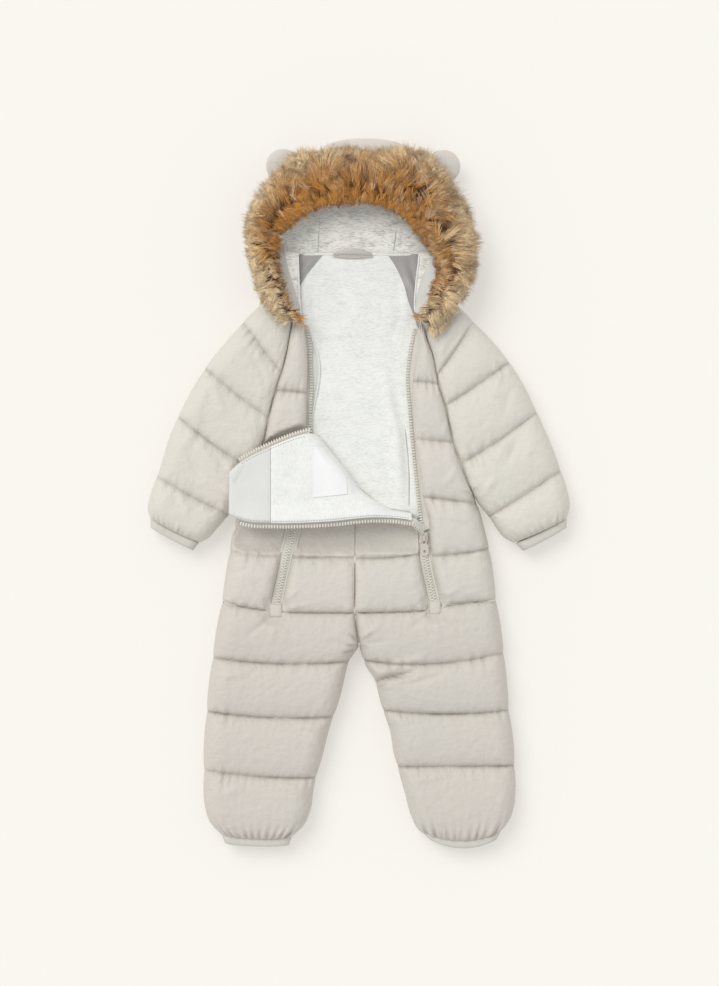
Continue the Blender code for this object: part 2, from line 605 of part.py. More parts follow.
def make_hems():
    """Elastic bindings round the feet."""
    for side, left, right, lines in (("left", SIDE_LEFT, INNER_LEFT, LEG_LINES_LEFT),
                                     ("right", INNER_RIGHT, SIDE_RIGHT, LEG_LINES_RIGHT)):
        last = lines[-1]
        rings = []
        for drop, height in ((0.6, 7.5), (3.0, 9.0), (5.0, 8.8), (6.8, 7.0)):
            yl, yr = last["left"] - drop, last["right"] - drop
            xl, xr = x_at(left, yl) + 1.0, x_at(right, yr) - 1.0
            ring = []
            for s in spread(13):
                sag = last["sag"] * 4 * s * (1 - s)
                high = wall(min(s, 1 - s) * (xr - xl), 0.4, height, 12)
                ring.append((mix(xl, xr, s), mix(yl, yr, s) - sag, Z_FRONT + high))
            for s in spread(7)[::-1]:
                sag = last["sag"] * 4 * s * (1 - s)
                deep = wall(min(s, 1 - s) * (xr - xl), 0.4, height, 12)
                ring.append((mix(xl, xr, s), mix(yl, yr, s) - sag, BACK_THICK - deep))
            rings.append(ring)
        loft(f"hem_binding_{side}", rings, "binding")


def make_linings():
    thin_panel("back_lining", LINING_LEFT, LINING_RIGHT,
               plain_lines((263.7, 263.7), (225, 225), (180, 180), (90, 90), (0, 0), (-44, -44)),
               Z_LINING, LINING_THICK, "jersey")
    thin_panel("sleeve_lining_left", ((-68, 264), (-68, 230)), LINING_LEFT,
               plain_lines((262.6, 262.6), (244, 244), (226, 226)), Z_LINING, LINING_THICK,
               "sleeve_lining")
    thin_panel("sleeve_lining_right", offset(LINING_RIGHT, 0.3), ((67, 264), (66, 230), (68, 200)),
               plain_lines((262.6, 262.6), (245, 245), (225, 225), (200, 200)), Z_LINING, LINING_THICK,
               "sleeve_lining")
    thin_panel("zip_guard_left", offset(FRONT_EDGE_LEFT, 0.3), GUARD_LEFT,
               plain_lines((181, 181), (140, 140), (110, 110), (80, 80)), Z_FRONT, LINING_THICK,
               "facing")


def make_open_zips():
    """The halves of the opened zips along the side fronts."""
    z_tape = Z_FRONT + LINING_THICK + SEAM_GAP
    thin_panel("zip_open_left", offset(FRONT_EDGE_LEFT, 0.4), offset(TEETH_LEFT, 2.2),
               plain_lines((180, 180), (140, 140), (100, 100), (74, 74)), z_tape, 2.4, "zip_tape")
    thin_panel("zip_open_right", offset(TEETH_RIGHT, -2.2), offset(FRONT_EDGE_RIGHT, -0.7),
               plain_lines((180, 180), (140, 140), (100, 100), (40, 40), (-28, -28)), z_tape, 2.4,
               "zip_tape")


def zip_ring(x, y, z):
    half, teeth = ZIP_WIDE / 2 - SEAM_GAP, TEETH_WIDE / 2
    section = ((-half, 0), (-half, TAPE_THICK), (-teeth, TAPE_THICK), (-teeth, TEETH_HIGH),
               (teeth, TEETH_HIGH), (teeth, TAPE_THICK), (half, TAPE_THICK), (half, 0))
    return [(x + dx, y, z + dz) for dx, dz in section]


def make_closed_zips():
    for side, curve, y_top, y_low, steps in (("left", ZIP_LEFT, 60, -117, 12),
                                             ("right", ZIP_RIGHT, -46, -115, 8)):
        rings = []
        for i in range(steps + 1):
            y = mix(y_top, y_low, i / steps)
            rings.append(zip_ring(x_at(curve, y), y, Z_ZIP))
        loft(f"zip_closed_{side}", rings, "zip_tape")


def make_zip_ends():
    for name, (cx, cy), half_wide in (("zip_end_left", ZIP_ENDS[0], 7.6),
                                      ("zip_end_right", ZIP_ENDS[1], 6.6)):
        rings = []
        for y, inset in ((cy + 7.6, 0.0), (cy, -0.3), (cy - 8.6, 0.0)):
            low = [(cx + side * (half_wide - inset), y) for side in (-1, 0, 1)]
            z = Z_FRONT + QUILT_SEAM + SEAM_GAP
            rings.append([(x, y, z) for x, y in low] + [(x, y, z + 1.4) for x, y in low[::-1]])
        loft(name, rings, "shell")


def flap_layer(name, x_from, x_to, inset, z_low, thick, finish_name, edge=None, steps=24):
    """A layer of the folded centre front between two x."""
    shares = spread(9) if edge else (0.0, 0.5, 1.0)
    rings = []
    for i in range(steps + 1):
        x = mix(x_from, x_to, i / steps)
        top, low = y_at(FLAP_TOP, x) - inset, y_at(FLAP_BOTTOM, x) + inset
        width = top - low
        ring = []
        for s in shares:
            high = thick
            if edge:
                high = min(wall(s * width, edge, thick, 9), wall((1 - s) * width, edge, thick, 9))
            ring.append((x, mix(low, top, s), z_low + high))
        ring += [(x, mix(low, top, s), z_low) for s in (1.0, 0.5, 0.0)]
        rings.append(ring)
    return loft(name, rings, finish_name)


def make_flap():
    """The opened centre front, folded down over the left side with its lining up."""
    flap_layer("folded_front", -143, 60, 0.0, Z_FLAP, FLAP_THICK, "shell", edge=4.0)
    flap_layer("folded_front_facing", -142, -97.2, 3.0, Z_FLAP_LINING, LINING_THICK, "facing",
               steps=5)
    flap_layer("folded_front_lining", -96.8, 57, 3.0, Z_FLAP_LINING, LINING_THICK, "jersey",
               steps=14)
    z_top = Z_FLAP_LINING + LINING_THICK + SEAM_GAP
    corner = ((-141, 25), (-137, 12), (-126, 32.5))
    loft("folded_front_corner",
         [[(x, y, z) for x, y in corner] for z in (z_top, z_top + LINING_THICK)], "facing")
    label = ((-52.5, 52), (-39, 50), (-33, 41), (-21, 27), (-14, 17), (-13.5, 0), (-52, -4))
    loft("care_label", [[(x, y, z) for x, y in label] for z in (z_top, z_top + 0.8)], "label")


def make_flap_zips():
    """Half zips along the two long edges of the folded centre front."""
    z_edge = Z_FLAP + 1.0
    rings = []
    for i in range(13):
        x = mix(-130, -56, i / 12)
        edge = y_at(FLAP_TOP, x) + SEAM_GAP
        low = ((edge, 0), (edge + 6.5, 0), (edge + 6.5, 2.4), (edge, 2.4))
        rings.append([(x, y, z_edge + dz) for y, dz in low])
    loft("zip_open_folded_top", rings, "zip_tape")
    rings = []
    for i in range(25):
        x = mix(-128, 62, i / 24)
        edge = y_at(FLAP_BOTTOM, min(x, 60)) - SEAM_GAP
        fall = max(0.0, (x - 50) / 12)
        z = z_edge - 6.0 * fall**1.5
        low = ((edge, 0), (edge - 6.5, 0), (edge - 6.5, 2.4), (edge, 2.4))
        rings.append([(x, y, z + dz) for y, dz in low])
    loft("zip_open_folded_bottom", rings, "zip_tape")


def make_slider(name, x, y, tilt):
    """A zip slider: a plate with two flanges over the teeth, and a hoop for the pull."""
    half, flange, plate = 4.4, 1.4, 1.8
    z = Z_ZIP + TEETH_HIGH + SEAM_GAP
    low = Z_ZIP + TAPE_THICK + SEAM_GAP
    inner = half - flange
    section = ((-half, low), (-inner, low), (-inner, z), (inner, z), (inner, low), (half, low),
               (half, z + plate * 0.6), (inner, z + plate), (-inner, z + plate),
               (-half, z + plate * 0.6))
    body = loft(name, [[(px * wide, py, pz) for px, pz in section]
                       for py, wide in ((-5.6, 0.98), (-3.0, 1.0), (5.6, 1.0))], "slider")
    hoop_half, hoop_tall, bar = 2.8, 3.2, 1.1
    bpy.ops.mesh.primitive_cube_add(size=1)
    hoop = bpy.context.object
    hoop.dimensions = (2.2 * MM, 2 * hoop_half * MM, (hoop_tall + 0.6) * MM)
    hoop.location = (0, -1.2 * MM, (z + plate + hoop_tall / 2 - 0.3) * MM)
    bpy.ops.mesh.primitive_cube_add(size=1)
    eye = bpy.context.object
    eye.dimensions = (6 * MM, 2 * (hoop_half - bar) * MM, (hoop_tall - bar) * MM)
    eye.location = (0, -1.2 * MM, (z + plate + (hoop_tall - bar) / 2 + 0.02) * MM)
    for helper in (hoop, eye):
        move_to(helper, cutters)
        helper.hide_render = True
        helper.display_type = "WIRE"
        bpy.context.view_layer.update()
        helper.data.transform(helper.matrix_world)
        helper.matrix_world.identity()
    joined = body.modifiers.new("hoop", "BOOLEAN")
    joined.operation = "UNION"
    joined.object = hoop
    cut = body.modifiers.new("eye", "BOOLEAN")
    cut.operation = "DIFFERENCE"
    cut.object = eye
    for item in (body, hoop, eye):
        item.location = (x * MM, y * MM, 0)
        item.rotation_euler = (0, 0, tilt)
    return z + plate


def move_to(obj, collection):
    for old in list(obj.users_collection):
        old.objects.unlink(obj)
    collection.objects.link(obj)


SLIDER_RIGHT = (70.8, -47.5)
SLIDER_TILT = math.radians(4.0)
SLIDER_LEFT = (-55.2, 57.0)
HINGE_UP = 1.2        # hinge line over the slider's plate
PULL_THICK = 1.2
PULL_BAR = 0.55       # half the width of the bar that turns in the hoop


def make_sliders():
    make_slider("slider_left", *SLIDER_LEFT, math.radians(-10))
    plate_top = make_slider("slider_right", *SLIDER_RIGHT, SLIDER_TILT)
    hinge_z = plate_top + HINGE_UP
    axle = bpy.data.objects.new("pull_hinge", None)
    snowsuit.objects.link(axle)
    axle.location = (SLIDER_RIGHT[0] * MM, (SLIDER_RIGHT[1] - 1.9) * MM, hinge_z * MM)
    axle.rotation_euler = (0, 0, SLIDER_TILT)
    outline = bpy.data.curves.new("pull_outline", "CURVE")
    outline.dimensions = "2D"
    outline.fill_mode = "BOTH"
    outline.extrude = PULL_THICK / 2 * MM
    half = PULL_WIDE / 2
    tip = -PULL_LONG
    outer = ((-2.6, PULL_BAR), (2.6, PULL_BAR), (3.0, -5.5), (half, -8.0), (half, tip + 3.0),
             (half - 1.2, tip + 0.8), (half - 3.0, tip), (-half + 3.0, tip),
             (-half + 1.2, tip + 0.8), (-half, tip + 3.0), (-half, -8.0), (-3.0, -5.5))
    eye = ((-1.6, -PULL_BAR), (1.6, -PULL_BAR), (1.6, -5.0), (-1.6, -5.0))
    stud = [(1.5 * math.cos(a), tip + 5.0 + 1.5 * math.sin(a))
            for a in [2 * math.pi * k / 12 for k in range(12)]]
    for points in (outer, eye, stud):
        spline = outline.splines.new("POLY")
        spline.points.add(len(points) - 1)
        for point, (px, py) in zip(spline.points, points):
            point.co = (px * MM, py * MM, 0, 1)
        spline.use_cyclic_u = True
    pull = bpy.data.objects.new("pull_tab", outline)
    snowsuit.objects.link(pull)
    bpy.context.view_layer.update()
    shaped = pull.evaluated_get(bpy.context.evaluated_depsgraph_get())
    mesh = bpy.data.meshes.new_from_object(shaped)
    bpy.data.objects.remove(pull)
    bm = bmesh.new()
    bm.from_mesh(mesh)
    bmesh.ops.remove_doubles(bm, verts=bm.verts, dist=1e-6)
    bmesh.ops.recalc_face_normals(bm, faces=bm.faces)
    bm.to_mesh(mesh)
    bm.free()
    mesh.materials.clear()
    tab = add_object("pull_tab", mesh, "slider")
    tab.parent = axle


def fan_height(line_arm, profile):
    return mix(profile["floor"], profile["arm"], line_arm)


def fan_stations(fan, steps=2):
    for a, b in zip(fan, fan[1:]):
        for k in range(steps):
            t = k / steps
            yield {"inner": mix_point(a["inner"], b["inner"], t),
                   "outer": mix_point(a["outer"], b["outer"], t), "arm": mix(a["arm"], b["arm"], t)}
    yield fan[-1]


def hood_height(line, s):
    """Height of the hood's inner face a share s along a fan line."""
    points = [(p["at"], fan_height(line["arm"], p)) for p in HOOD_PROFILE]
    i = max(k for k in range(len(points) - 1) if points[k][0] <= s + 1e-9)
    (s0, z0), (s1, z1) = points[i], points[i + 1]
    return mix(z0, z1, (s - s0) / (s1 - s0))


def make_hood_side(side, fan):
    rings, lining = [], []
    for line in fan_stations(fan):
        top = [(*mix_point(line["inner"], line["outer"], p["at"]), fan_height(line["arm"], p))
               for p in HOOD_PROFILE]
        under = mix(0.0, Z_FRONT, line["arm"])
        low = [(*mix_point(line["inner"], line["outer"], s), under + lift * (1 - line["arm"]))
               for s, lift in ((1.0, 9.0), (0.96, 3.0), (0.88, 0.0), (0.4, 0.0), (0.0, 0.0))]
        rings.append(top + low)
        knots = [p["at"] for p in HOOD_PROFILE if p["at"] <= RIM_AT]
        face = [(*mix_point(line["inner"], line["outer"], s), hood_height(line, s) + SEAM_GAP)
                for s in knots]
        lining.append(face + [(x, y, z + LINING_THICK) for x, y, z in face[::-1]])
    loft(f"hood_side_{side}", rings, "shell")
    loft(f"hood_side_lining_{side}", lining, "jersey")


def make_hood_middle():
    rings, lining = [], []
    shares = (0.0, 0.25, 0.5, 0.75, 1.0)
    for a, b in zip(HOOD_MIDDLE, HOOD_MIDDLE[1:]):
        for t in (0.0, 0.5):
            rings.append({key: mix(a[key], b[key], t) for key in a})
    rings.append(HOOD_MIDDLE[-1])
    solid, face = [], []
    for row in rings:
        y = row["y"]
        xl = straight(HOOD_MIDDLE_LEFT, y) + SEAM_GAP
        xr = straight(HOOD_MIDDLE_RIGHT, y) - SEAM_GAP
        bow = CROWN_BOW * max(0.0, (y - 340) / 46)
        across = [(mix(xl, xr, s), y + bow * 4 * s * (1 - s)) for s in shares]
        solid.append([(px, py, row["top"]) for px, py in across]
                     + [(px, py, row["under"]) for px, py in across[::-1]])
        if y <= 362:
            low = [(px, py, row["top"] + SEAM_GAP) for px, py in across]
            face.append(low + [(px, py, pz + LINING_THICK) for px, py, pz in low[::-1]])
    loft("hood_middle", solid, "shell")
    loft("hood_middle_lining", face, "jersey")


def straight(curve, y):
    """x on a seam of straight stretches."""
    for (x0, y0), (x1, y1) in zip(curve, curve[1:]):
        if min(y0, y1) <= y <= max(y0, y1):
            return mix(x0, x1, (y - y0) / (y1 - y0))
    return curve[0][0] if y < curve[0][1] else curve[-1][0]


def make_ears():
    """Two small padded ears sewn to the outside of the hood."""
    for side, centre, root in (("left", (-84, 361), (0.0, 300)), ("right", (92, 360), (6.0, 300))):
        out = Vector((centre[0] - root[0], centre[1] - root[1])).normalized()
        along = Vector((-out.y, out.x))
        radius, thick = 19.0, 9.0
        fan = {"left": HOOD_FAN_LEFT, "right": HOOD_FAN_RIGHT}[side]
        rim = [Vector(line["outer"]) - Vector(centre) for line in fan_stations(fan, 6)]
        root_at = max(p.dot(out) for p in rim if abs(p.dot(along)) < radius + 4) + SEAM_GAP
        rings = []
        for k in range(9):
            u = mix(root_at, radius * 0.985, spread(9, 0.9)[k])
            half = math.sqrt(radius**2 - u**2) if u > 0 else radius - 0.12 * u * u / radius
            high = thick * math.sqrt(max(0.02, 1 - (max(0.0, u) / radius) ** 2))
            ring = []
            for j in range(12):
                a = 2 * math.pi * j / 12
                p = Vector(centre) + out * u + along * (half * math.cos(a))
                ring.append((p.x, p.y, 24.0 + 0.5 * high * math.sin(a)))
            rings.append(ring)
        loft(f"ear_{side}", rings, "shell")


def make_hanger():
    """The hanging loop on the neck seam."""
    rings = []
    for k in range(13):
        t = k / 12
        x = mix(-29, 14, t)
        y = 262.5 + 3.5 * math.sin(math.pi * t)
        half = 0.8 + 3.0 * math.sin(math.pi * t)
        z = Z_FRONT + 0.1
        high = 1.6 + 1.6 * math.sin(math.pi * t)
        rings.append([(x, y - half, z), (x, y + half, z), (x, y + half * 0.8, z + high),
                      (x, y - half * 0.8, z + high)])
    loft("hanging_loop", rings, "binding")


def make_chin_tab():
    """The cover for the top of the zip, on the inner face of the hood's right arm."""
    spans = ((0.10, 0.62), (0.10, 0.38), (0.17, 0.36), (0.28, 0.36))
    rings = []
    lines = list(fan_stations(HOOD_FAN_RIGHT[:4]))
    for k, line in enumerate(lines):
        a = k / (len(lines) - 1) * (len(spans) - 1)
        i = min(int(a), len(spans) - 2)
        low, high = mix_point(spans[i], spans[i + 1], a - i)
        lift = 3 * SEAM_GAP + LINING_THICK
        face = [(*mix_point(line["inner"], line["outer"], s), hood_height(line, s) + lift)
                for s in (low, mix(low, high, 0.5), high)]
        rings.append(face + [(x, y, z + LINING_THICK) for x, y, z in face[::-1]])
    loft("chin_tab", rings, "facing")


def catmull(p0, p1, p2, p3, t):
    return tuple(0.5 * (2 * b + (c - a) * t + (2 * a - 5 * b + 4 * c - d) * t**2
                        + (3 * b - a - 3 * c + d) * t**3) for a, b, c, d in zip(p0, p1, p2, p3))


def make_fur():
    """The fur strip round the hood's opening: a tufted horseshoe as far out as the fur tips."""
    rows = [(*line["inner"], *line["outer"], line["under"]) for line in FUR_LINES]
    rings = []
    count = 0
    for i in range(len(rows) - 1):
        before, after = rows[max(0, i - 1)], rows[min(len(rows) - 1, i + 2)]
        for k in range(FUR_STEPS):
            row = catmull(before, rows[i], rows[i + 1], after, k / FUR_STEPS)
            rings.append(fur_ring(row, count))
            count += 1
    rings.append(fur_ring(rows[-1], count))
    loft("fur_trim", rings, "fur")


def fur_ring(row, count):
    xi, yi, xo, yo, under = row
    tuft = FUR_TUFT if count % 2 else -FUR_TUFT
    full = min(1.0, math.hypot(xo - xi, yo - yi) / 32.0)
    ring = []
    for s, up in FUR_SECTION:
        reach = 0.5 + (s - 0.5) * (1 + tuft)
        ring.append((mix(xi, xo, reach), mix(yi, yo, reach),
                     under + (up * (1 + 0.5 * tuft) * full if up > 0 else up)))
    return ring


def clear_scene():
    for obj in list(bpy.data.objects):
        bpy.data.objects.remove(obj, do_unlink=True)


clear_scene()
snowsuit = bpy.data.collections.new("snowsuit")
cutters = bpy.data.collections.new("cutters")
bpy.context.scene.collection.children.link(snowsuit)
bpy.context.scene.collection.children.link(cutters)

make_backs()
make_fronts()
make_sleeves()
make_hems()
make_linings()
make_open_zips()
make_closed_zips()
make_zip_ends()
make_flap()
make_flap_zips()
make_sliders()
make_hood_side("left", HOOD_FAN_LEFT)
make_hood_side("right", HOOD_FAN_RIGHT)
make_hood_middle()
make_ears()
make_hanger()
make_chin_tab()
make_fur()
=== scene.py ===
# %% [markdown]
# A toddler's padded snowsuit, laid flat on its back with its front opened.
# The packed CAD model is the frame: it says where every piece lies. This script dresses it in
# quilted cloth, jersey, zips and fur. All sizes are in millimetres until a mesh is made,
# with X to the right, Y towards the hood and Z up from the surface that the suit lies on.

# %% load the frame
import math

import bpy
import numpy as np
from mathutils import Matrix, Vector


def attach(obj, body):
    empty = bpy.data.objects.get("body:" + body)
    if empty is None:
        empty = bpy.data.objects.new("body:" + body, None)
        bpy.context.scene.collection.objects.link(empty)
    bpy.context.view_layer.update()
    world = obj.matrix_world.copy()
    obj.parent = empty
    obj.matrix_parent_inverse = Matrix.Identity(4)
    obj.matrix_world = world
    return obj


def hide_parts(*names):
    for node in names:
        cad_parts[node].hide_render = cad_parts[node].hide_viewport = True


MM = 0.001
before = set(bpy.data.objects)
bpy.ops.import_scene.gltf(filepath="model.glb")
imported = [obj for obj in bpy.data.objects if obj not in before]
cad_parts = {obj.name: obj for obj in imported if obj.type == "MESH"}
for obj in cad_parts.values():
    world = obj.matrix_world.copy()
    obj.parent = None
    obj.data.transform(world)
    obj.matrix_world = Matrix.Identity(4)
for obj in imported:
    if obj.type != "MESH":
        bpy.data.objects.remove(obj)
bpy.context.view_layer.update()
scene = bpy.context.scene
rng = np.random.default_rng(7)

# %% [markdown]
# The photograph looks straight down from far away. One of its pixels is 1.10 mm at the height of
# the zips, and the picture is 986 pixels high, so lens and distance are chosen together to show
# exactly that much. A long lens far away keeps the quilting from leaning outwards.

# %% camera
PHOTO_HIGH = 986 * 1.10        # height of the picture's field, mm
SEEN_AT = 25.0                 # height above the surface at which that holds, mm
CAMERA_UP = 3000.0
camera_data = bpy.data.cameras.new("camera")
camera_data.lens = camera_data.sensor_width * CAMERA_UP / PHOTO_HIGH
camera_data.clip_end = 20.0
camera = bpy.data.objects.new("camera", camera_data)
camera.location = (0.0, 1.1 * MM, (CAMERA_UP + SEEN_AT) * MM)
scene.collection.objects.link(camera)
scene.camera = camera
print("lens", round(camera_data.lens, 2), "mm")

# %% [markdown]
# The floor is a plain warm white sheet. A wide soft sun from the upper left gives the faint
# shadows on the lower right, and an even sky fills them, as two big studio lights would.

# %% floor and light
FLOOR_HALF = 6.0
SUN_FROM = Vector((-0.50, 0.62, 1.0))
SUN_STRENGTH = 1.35
SKY_STRENGTH = 0.74


def studio():
    """Floor, sun and sky."""
    mesh = bpy.data.meshes.new("floor")
    mesh.from_pydata([(x * FLOOR_HALF, y * FLOOR_HALF, 0.0) for x, y in
                      ((-1, -1), (1, -1), (1, 1), (-1, 1))], [], [(0, 1, 2, 3)])
    floor = bpy.data.objects.new("floor", mesh)
    scene.collection.objects.link(floor)
    sun_data = bpy.data.lights.new("window", "SUN")
    sun_data.energy = SUN_STRENGTH
    sun_data.angle = math.radians(38)
    sun_data.color = (1.0, 0.985, 0.965)
    sun = bpy.data.objects.new("window", sun_data)
    sun.rotation_euler = SUN_FROM.to_track_quat("Z", "Y").to_euler()
    scene.collection.objects.link(sun)
    world = bpy.data.worlds.new("sky")
    world.use_nodes = True
    background = world.node_tree.nodes["Background"]
    background.inputs["Color"].default_value = (0.985, 0.99, 1.0, 1.0)
    background.inputs["Strength"].default_value = SKY_STRENGTH
    scene.world = world
    scene.view_settings.view_transform = "Standard"
    return floor


floor = studio()
print("sun from", tuple(round(v, 2) for v in SUN_FROM.normalized()))

# %% [markdown]
# Finishes are written as small sums. Val wraps one socket of a shader tree, so that
# `0.4 + 0.2 * noise` adds the Math nodes itself, and Finish keeps the tree together and
# makes any other node in one call.

# %% shader sums


class Val:
    """A value somewhere in a shader tree, which can be added, multiplied and so on."""

    def __init__(self, finish, socket):
        self.finish, self.socket = finish, socket

    def sum_with(self, operation, a, b):
        return self.finish.node("ShaderNodeMath", {"operation": operation}, {0: a, 1: b})["Value"]

    def __add__(self, other):
        return self.sum_with("ADD", self, other)

    def __sub__(self, other):
        return self.sum_with("SUBTRACT", self, other)

    def __rsub__(self, other):
        return self.sum_with("SUBTRACT", other, self)

    def __mul__(self, other):
        return self.sum_with("MULTIPLY", self, other)

    __radd__, __rmul__ = __add__, __mul__


class Finish:
    """One material: its tree, its shader, and one method that makes every node."""

    def __init__(self, name, roughness=0.6, **sockets):
        self.material = bpy.data.materials.new(name)
        self.material.use_nodes = True
        self.tree = self.material.node_tree
        self.shader = self.tree.nodes["Principled BSDF"]
        self.shader.inputs["Roughness"].default_value = roughness
        for socket, value in sockets.items():
            self.shader.inputs[socket.replace("_", " ")].default_value = value

    def node(self, kind, settings=None, inputs=None):
        node = self.tree.nodes.new(kind)
        for key, value in (settings or {}).items():
            if key == "stops":
                ramp = node.color_ramp.elements
                while len(ramp) < len(value):
                    ramp.new(0.5)
                for element, (at, colour) in zip(ramp, value):
                    element.position = at
                    element.color = (*colour, 1.0) if isinstance(colour, tuple) else (
                        colour, colour, colour, 1.0)
            else:
                setattr(node, key, value)
        for key, value in (inputs or {}).items():
            self.put(node.inputs[key], value)
        return {socket.name: Val(self, socket) for socket in node.outputs if socket.enabled}

    def put(self, socket, value):
        if isinstance(value, Val):
            self.tree.links.new(value.socket, socket)
        else:
            socket.default_value = value

    def set(self, **sockets):
        for name, value in sockets.items():
            self.put(self.shader.inputs[name.replace("_", " ")], value)
        return self

    def place(self, scale=(1.0, 1.0, 1.0), turn=(0.0, 0.0, 0.0)):
        """Where a point lies on the suit, in metres, stretched by scale."""
        where = self.node("ShaderNodeTexCoord")["Object"]
        return self.node("ShaderNodeMapping", {}, {"Vector": where, "Scale": scale,
                                                   "Rotation": turn})["Vector"]

    def noise(self, where, size_mm, detail=2.0, rough=0.5):
        """Soft blobs of about size_mm, from 0 to 1."""
        made = self.node("ShaderNodeTexNoise", {}, {
            "Vector": where, "Scale": 1 / (size_mm * MM), "Detail": detail, "Roughness": rough})
        return next(iter(made.values()))

    def ramp(self, value, *stops):
        """A colour ramp; a stop is its place and a colour, or its place and a grey."""
        return self.node("ShaderNodeValToRGB", {"stops": stops}, {"Fac": value})["Color"]

    def painted(self, layer):
        """Red, green and blue of a colour that is stored in the mesh."""
        colour = self.node("ShaderNodeVertexColor", {"layer_name": layer})["Color"]
        split = self.node("ShaderNodeSeparateColor", {}, {"Color": colour})
        return split["Red"], split["Green"], split["Blue"]

    def blend(self, share, a, b):
        mixed = self.node("ShaderNodeMix", {"data_type": "RGBA"})
        node = mixed["Result"].socket.node
        sockets = {s.identifier: s for s in node.inputs}
        self.put(sockets["Factor_Float"], share)
        self.put(sockets["A_Color"], a)
        self.put(sockets["B_Color"], b)
        return Val(self, [s for s in node.outputs if s.identifier == "Result_Color"][0])

    def bump(self, height, depth_mm, strength=1.0):
        normal = self.node("ShaderNodeBump", {}, {"Height": height, "Distance": depth_mm * MM,
                                                  "Strength": strength})["Normal"]
        return self.set(Normal=normal)


print("operators ready:", [name for name in vars(Val) if name.startswith("__r")])

# %% [markdown]
# The shell is a close-woven nylon, pale warm grey and slightly glossy. Its weave is far finer
# than a pixel, so what shows is a soft sheen, faint crumples, and small random shifts of tone.
# The sleeves are painted lighter and the legs darker, and the sewn lines and tight folds darker
# still: painted light and shade. A real weave as geometry would be pointless: a fine noise in the
# bump does it.

# %% shell finish


def linear(*rgb):
    """A colour picked as 0 to 255 on a screen, as the shader wants it."""
    return tuple((c / 255 / 12.92 if c / 255 <= 0.04045 else ((c / 255 + 0.055) / 1.055) ** 2.4)
                 for c in rgb)


def solid(*rgb):
    """The same with a fourth number, as a colour socket wants it."""
    return (*linear(*rgb), 1.0)


def shell_finish(name, quilted=False, warm=(213, 204, 198), cool=(205, 203, 192)):
    """Shell cloth; quilted pieces carry as `sewn` the painted shade of sewn lines and tight folds,
    and how near a point is to a sewn line.
    """
    shell = Finish(name, Sheen_Weight=0.12, Sheen_Roughness=0.5, Specular_IOR_Level=0.42)
    colour = shell.blend(shell.noise(shell.place(), 90.0, 3.0), solid(*warm), solid(*cool))
    if quilted:
        line_shade, by_line, _ = shell.painted("sewn")
        uneven, broad = shell.noise(shell.place(), 9.0, 2.0), shell.noise(shell.place(), 46.0, 1.0)
        # painted shade: darker brown on the sewn lines and in tight folds, uneven along them
        colour = shell.blend(line_shade * (uneven + broad * 2.0 - 0.95), colour,
                             solid(126, 114, 102))
    shell.set(Base_Color=colour)
    crumple = shell.noise(shell.place((1.0, 1.7, 1.0), (0, 0, 0.5)), 17.0, 5.0, 0.64)
    crease = shell.noise(shell.place((2.2, 0.7, 1.0), (0, 0, -0.6)), 26.0, 3.0, 0.6)
    weave = shell.noise(shell.place(), 0.9, 1.0)
    shell.set(Roughness=0.50 + 0.10 * weave)
    height = crumple + crease * 0.8 + weave * 0.04
    if quilted:
        gathered = shell.noise(shell.place((1.5, 0.5, 1.0), (0, 0, 0.2)), 6.0, 3.0, 0.55)
        height = height + by_line * gathered * 1.3
    return shell.bump(height, 2.4, 0.62)


GLOW = 0.42           # share of the ground's light that is its own, as on a light table


def paper_finish():
    """The warm white ground, a very little uneven, as painted board is."""
    paper = Finish("paper_floor", roughness=0.85, Specular_IOR_Level=0.2,
                   Emission_Color=(0.958, 0.933, 0.884, 1.0), Emission_Strength=GLOW)
    uneven = paper.noise(paper.place(), 260.0, 2.0)
    lit = 1 - GLOW
    return paper.set(Base_Color=paper.blend(uneven, (0.895 * lit, 0.872 * lit, 0.824 * lit, 1.0),
                                            (0.885 * lit, 0.862 * lit, 0.816 * lit, 1.0)))


# the sleeve copy is painted lighter and the leg copy darker: painted light and shade on one cloth
FINISHES = {"shell": shell_finish("shell_cloth"), "quilted": shell_finish("shell_quilted", True),
            "quilted_sleeve_lit": shell_finish("shell_sleeves", True, (218, 210, 202),
                                           (211, 210, 198)),
            "quilted_leg": shell_finish("shell_legs", True, (207, 198, 191), (200, 197, 187)),
            "floor": paper_finish()}
floor.data.materials.append(FINISHES["floor"].material)
print("shell finish:", len(FINISHES["shell"].tree.nodes), "nodes")

# %% [markdown]
# The jersey lining is knitted from a pale yarn with darker fibres in it, so it shows short
# level streaks of grey green. Stretching a noise along X makes streaks of that kind, and a
# second, finer one breaks them up.

# %% jersey finish


def jersey_finish(name, light, dark, along=(1.0, 1.0, 1.0), strength=1.0):
    jersey = Finish(name, roughness=0.95, Sheen_Weight=0.25, Sheen_Roughness=0.6,
                    Specular_IOR_Level=0.2)
    streak = jersey.noise(jersey.place((0.26 * along[0], along[1], 1.0)), 1.2, 3.0, 0.7)
    cloud = jersey.noise(jersey.place((0.4, 1.0, 1.0)), 7.0, 2.0)
    mask = (streak * 0.85 + cloud * 0.30 - 0.52) * (3.4 * strength)
    between = tuple(0.5 * (a + b) for a, b in zip(light, dark))
    jersey.set(Base_Color=jersey.ramp(mask, (0.0, light), (0.55, between), (1.0, dark)))
    rib = jersey.noise(jersey.place((1.0, 0.35, 1.0)), 1.0, 2.0)
    return jersey.bump(rib, 0.5, 0.4)


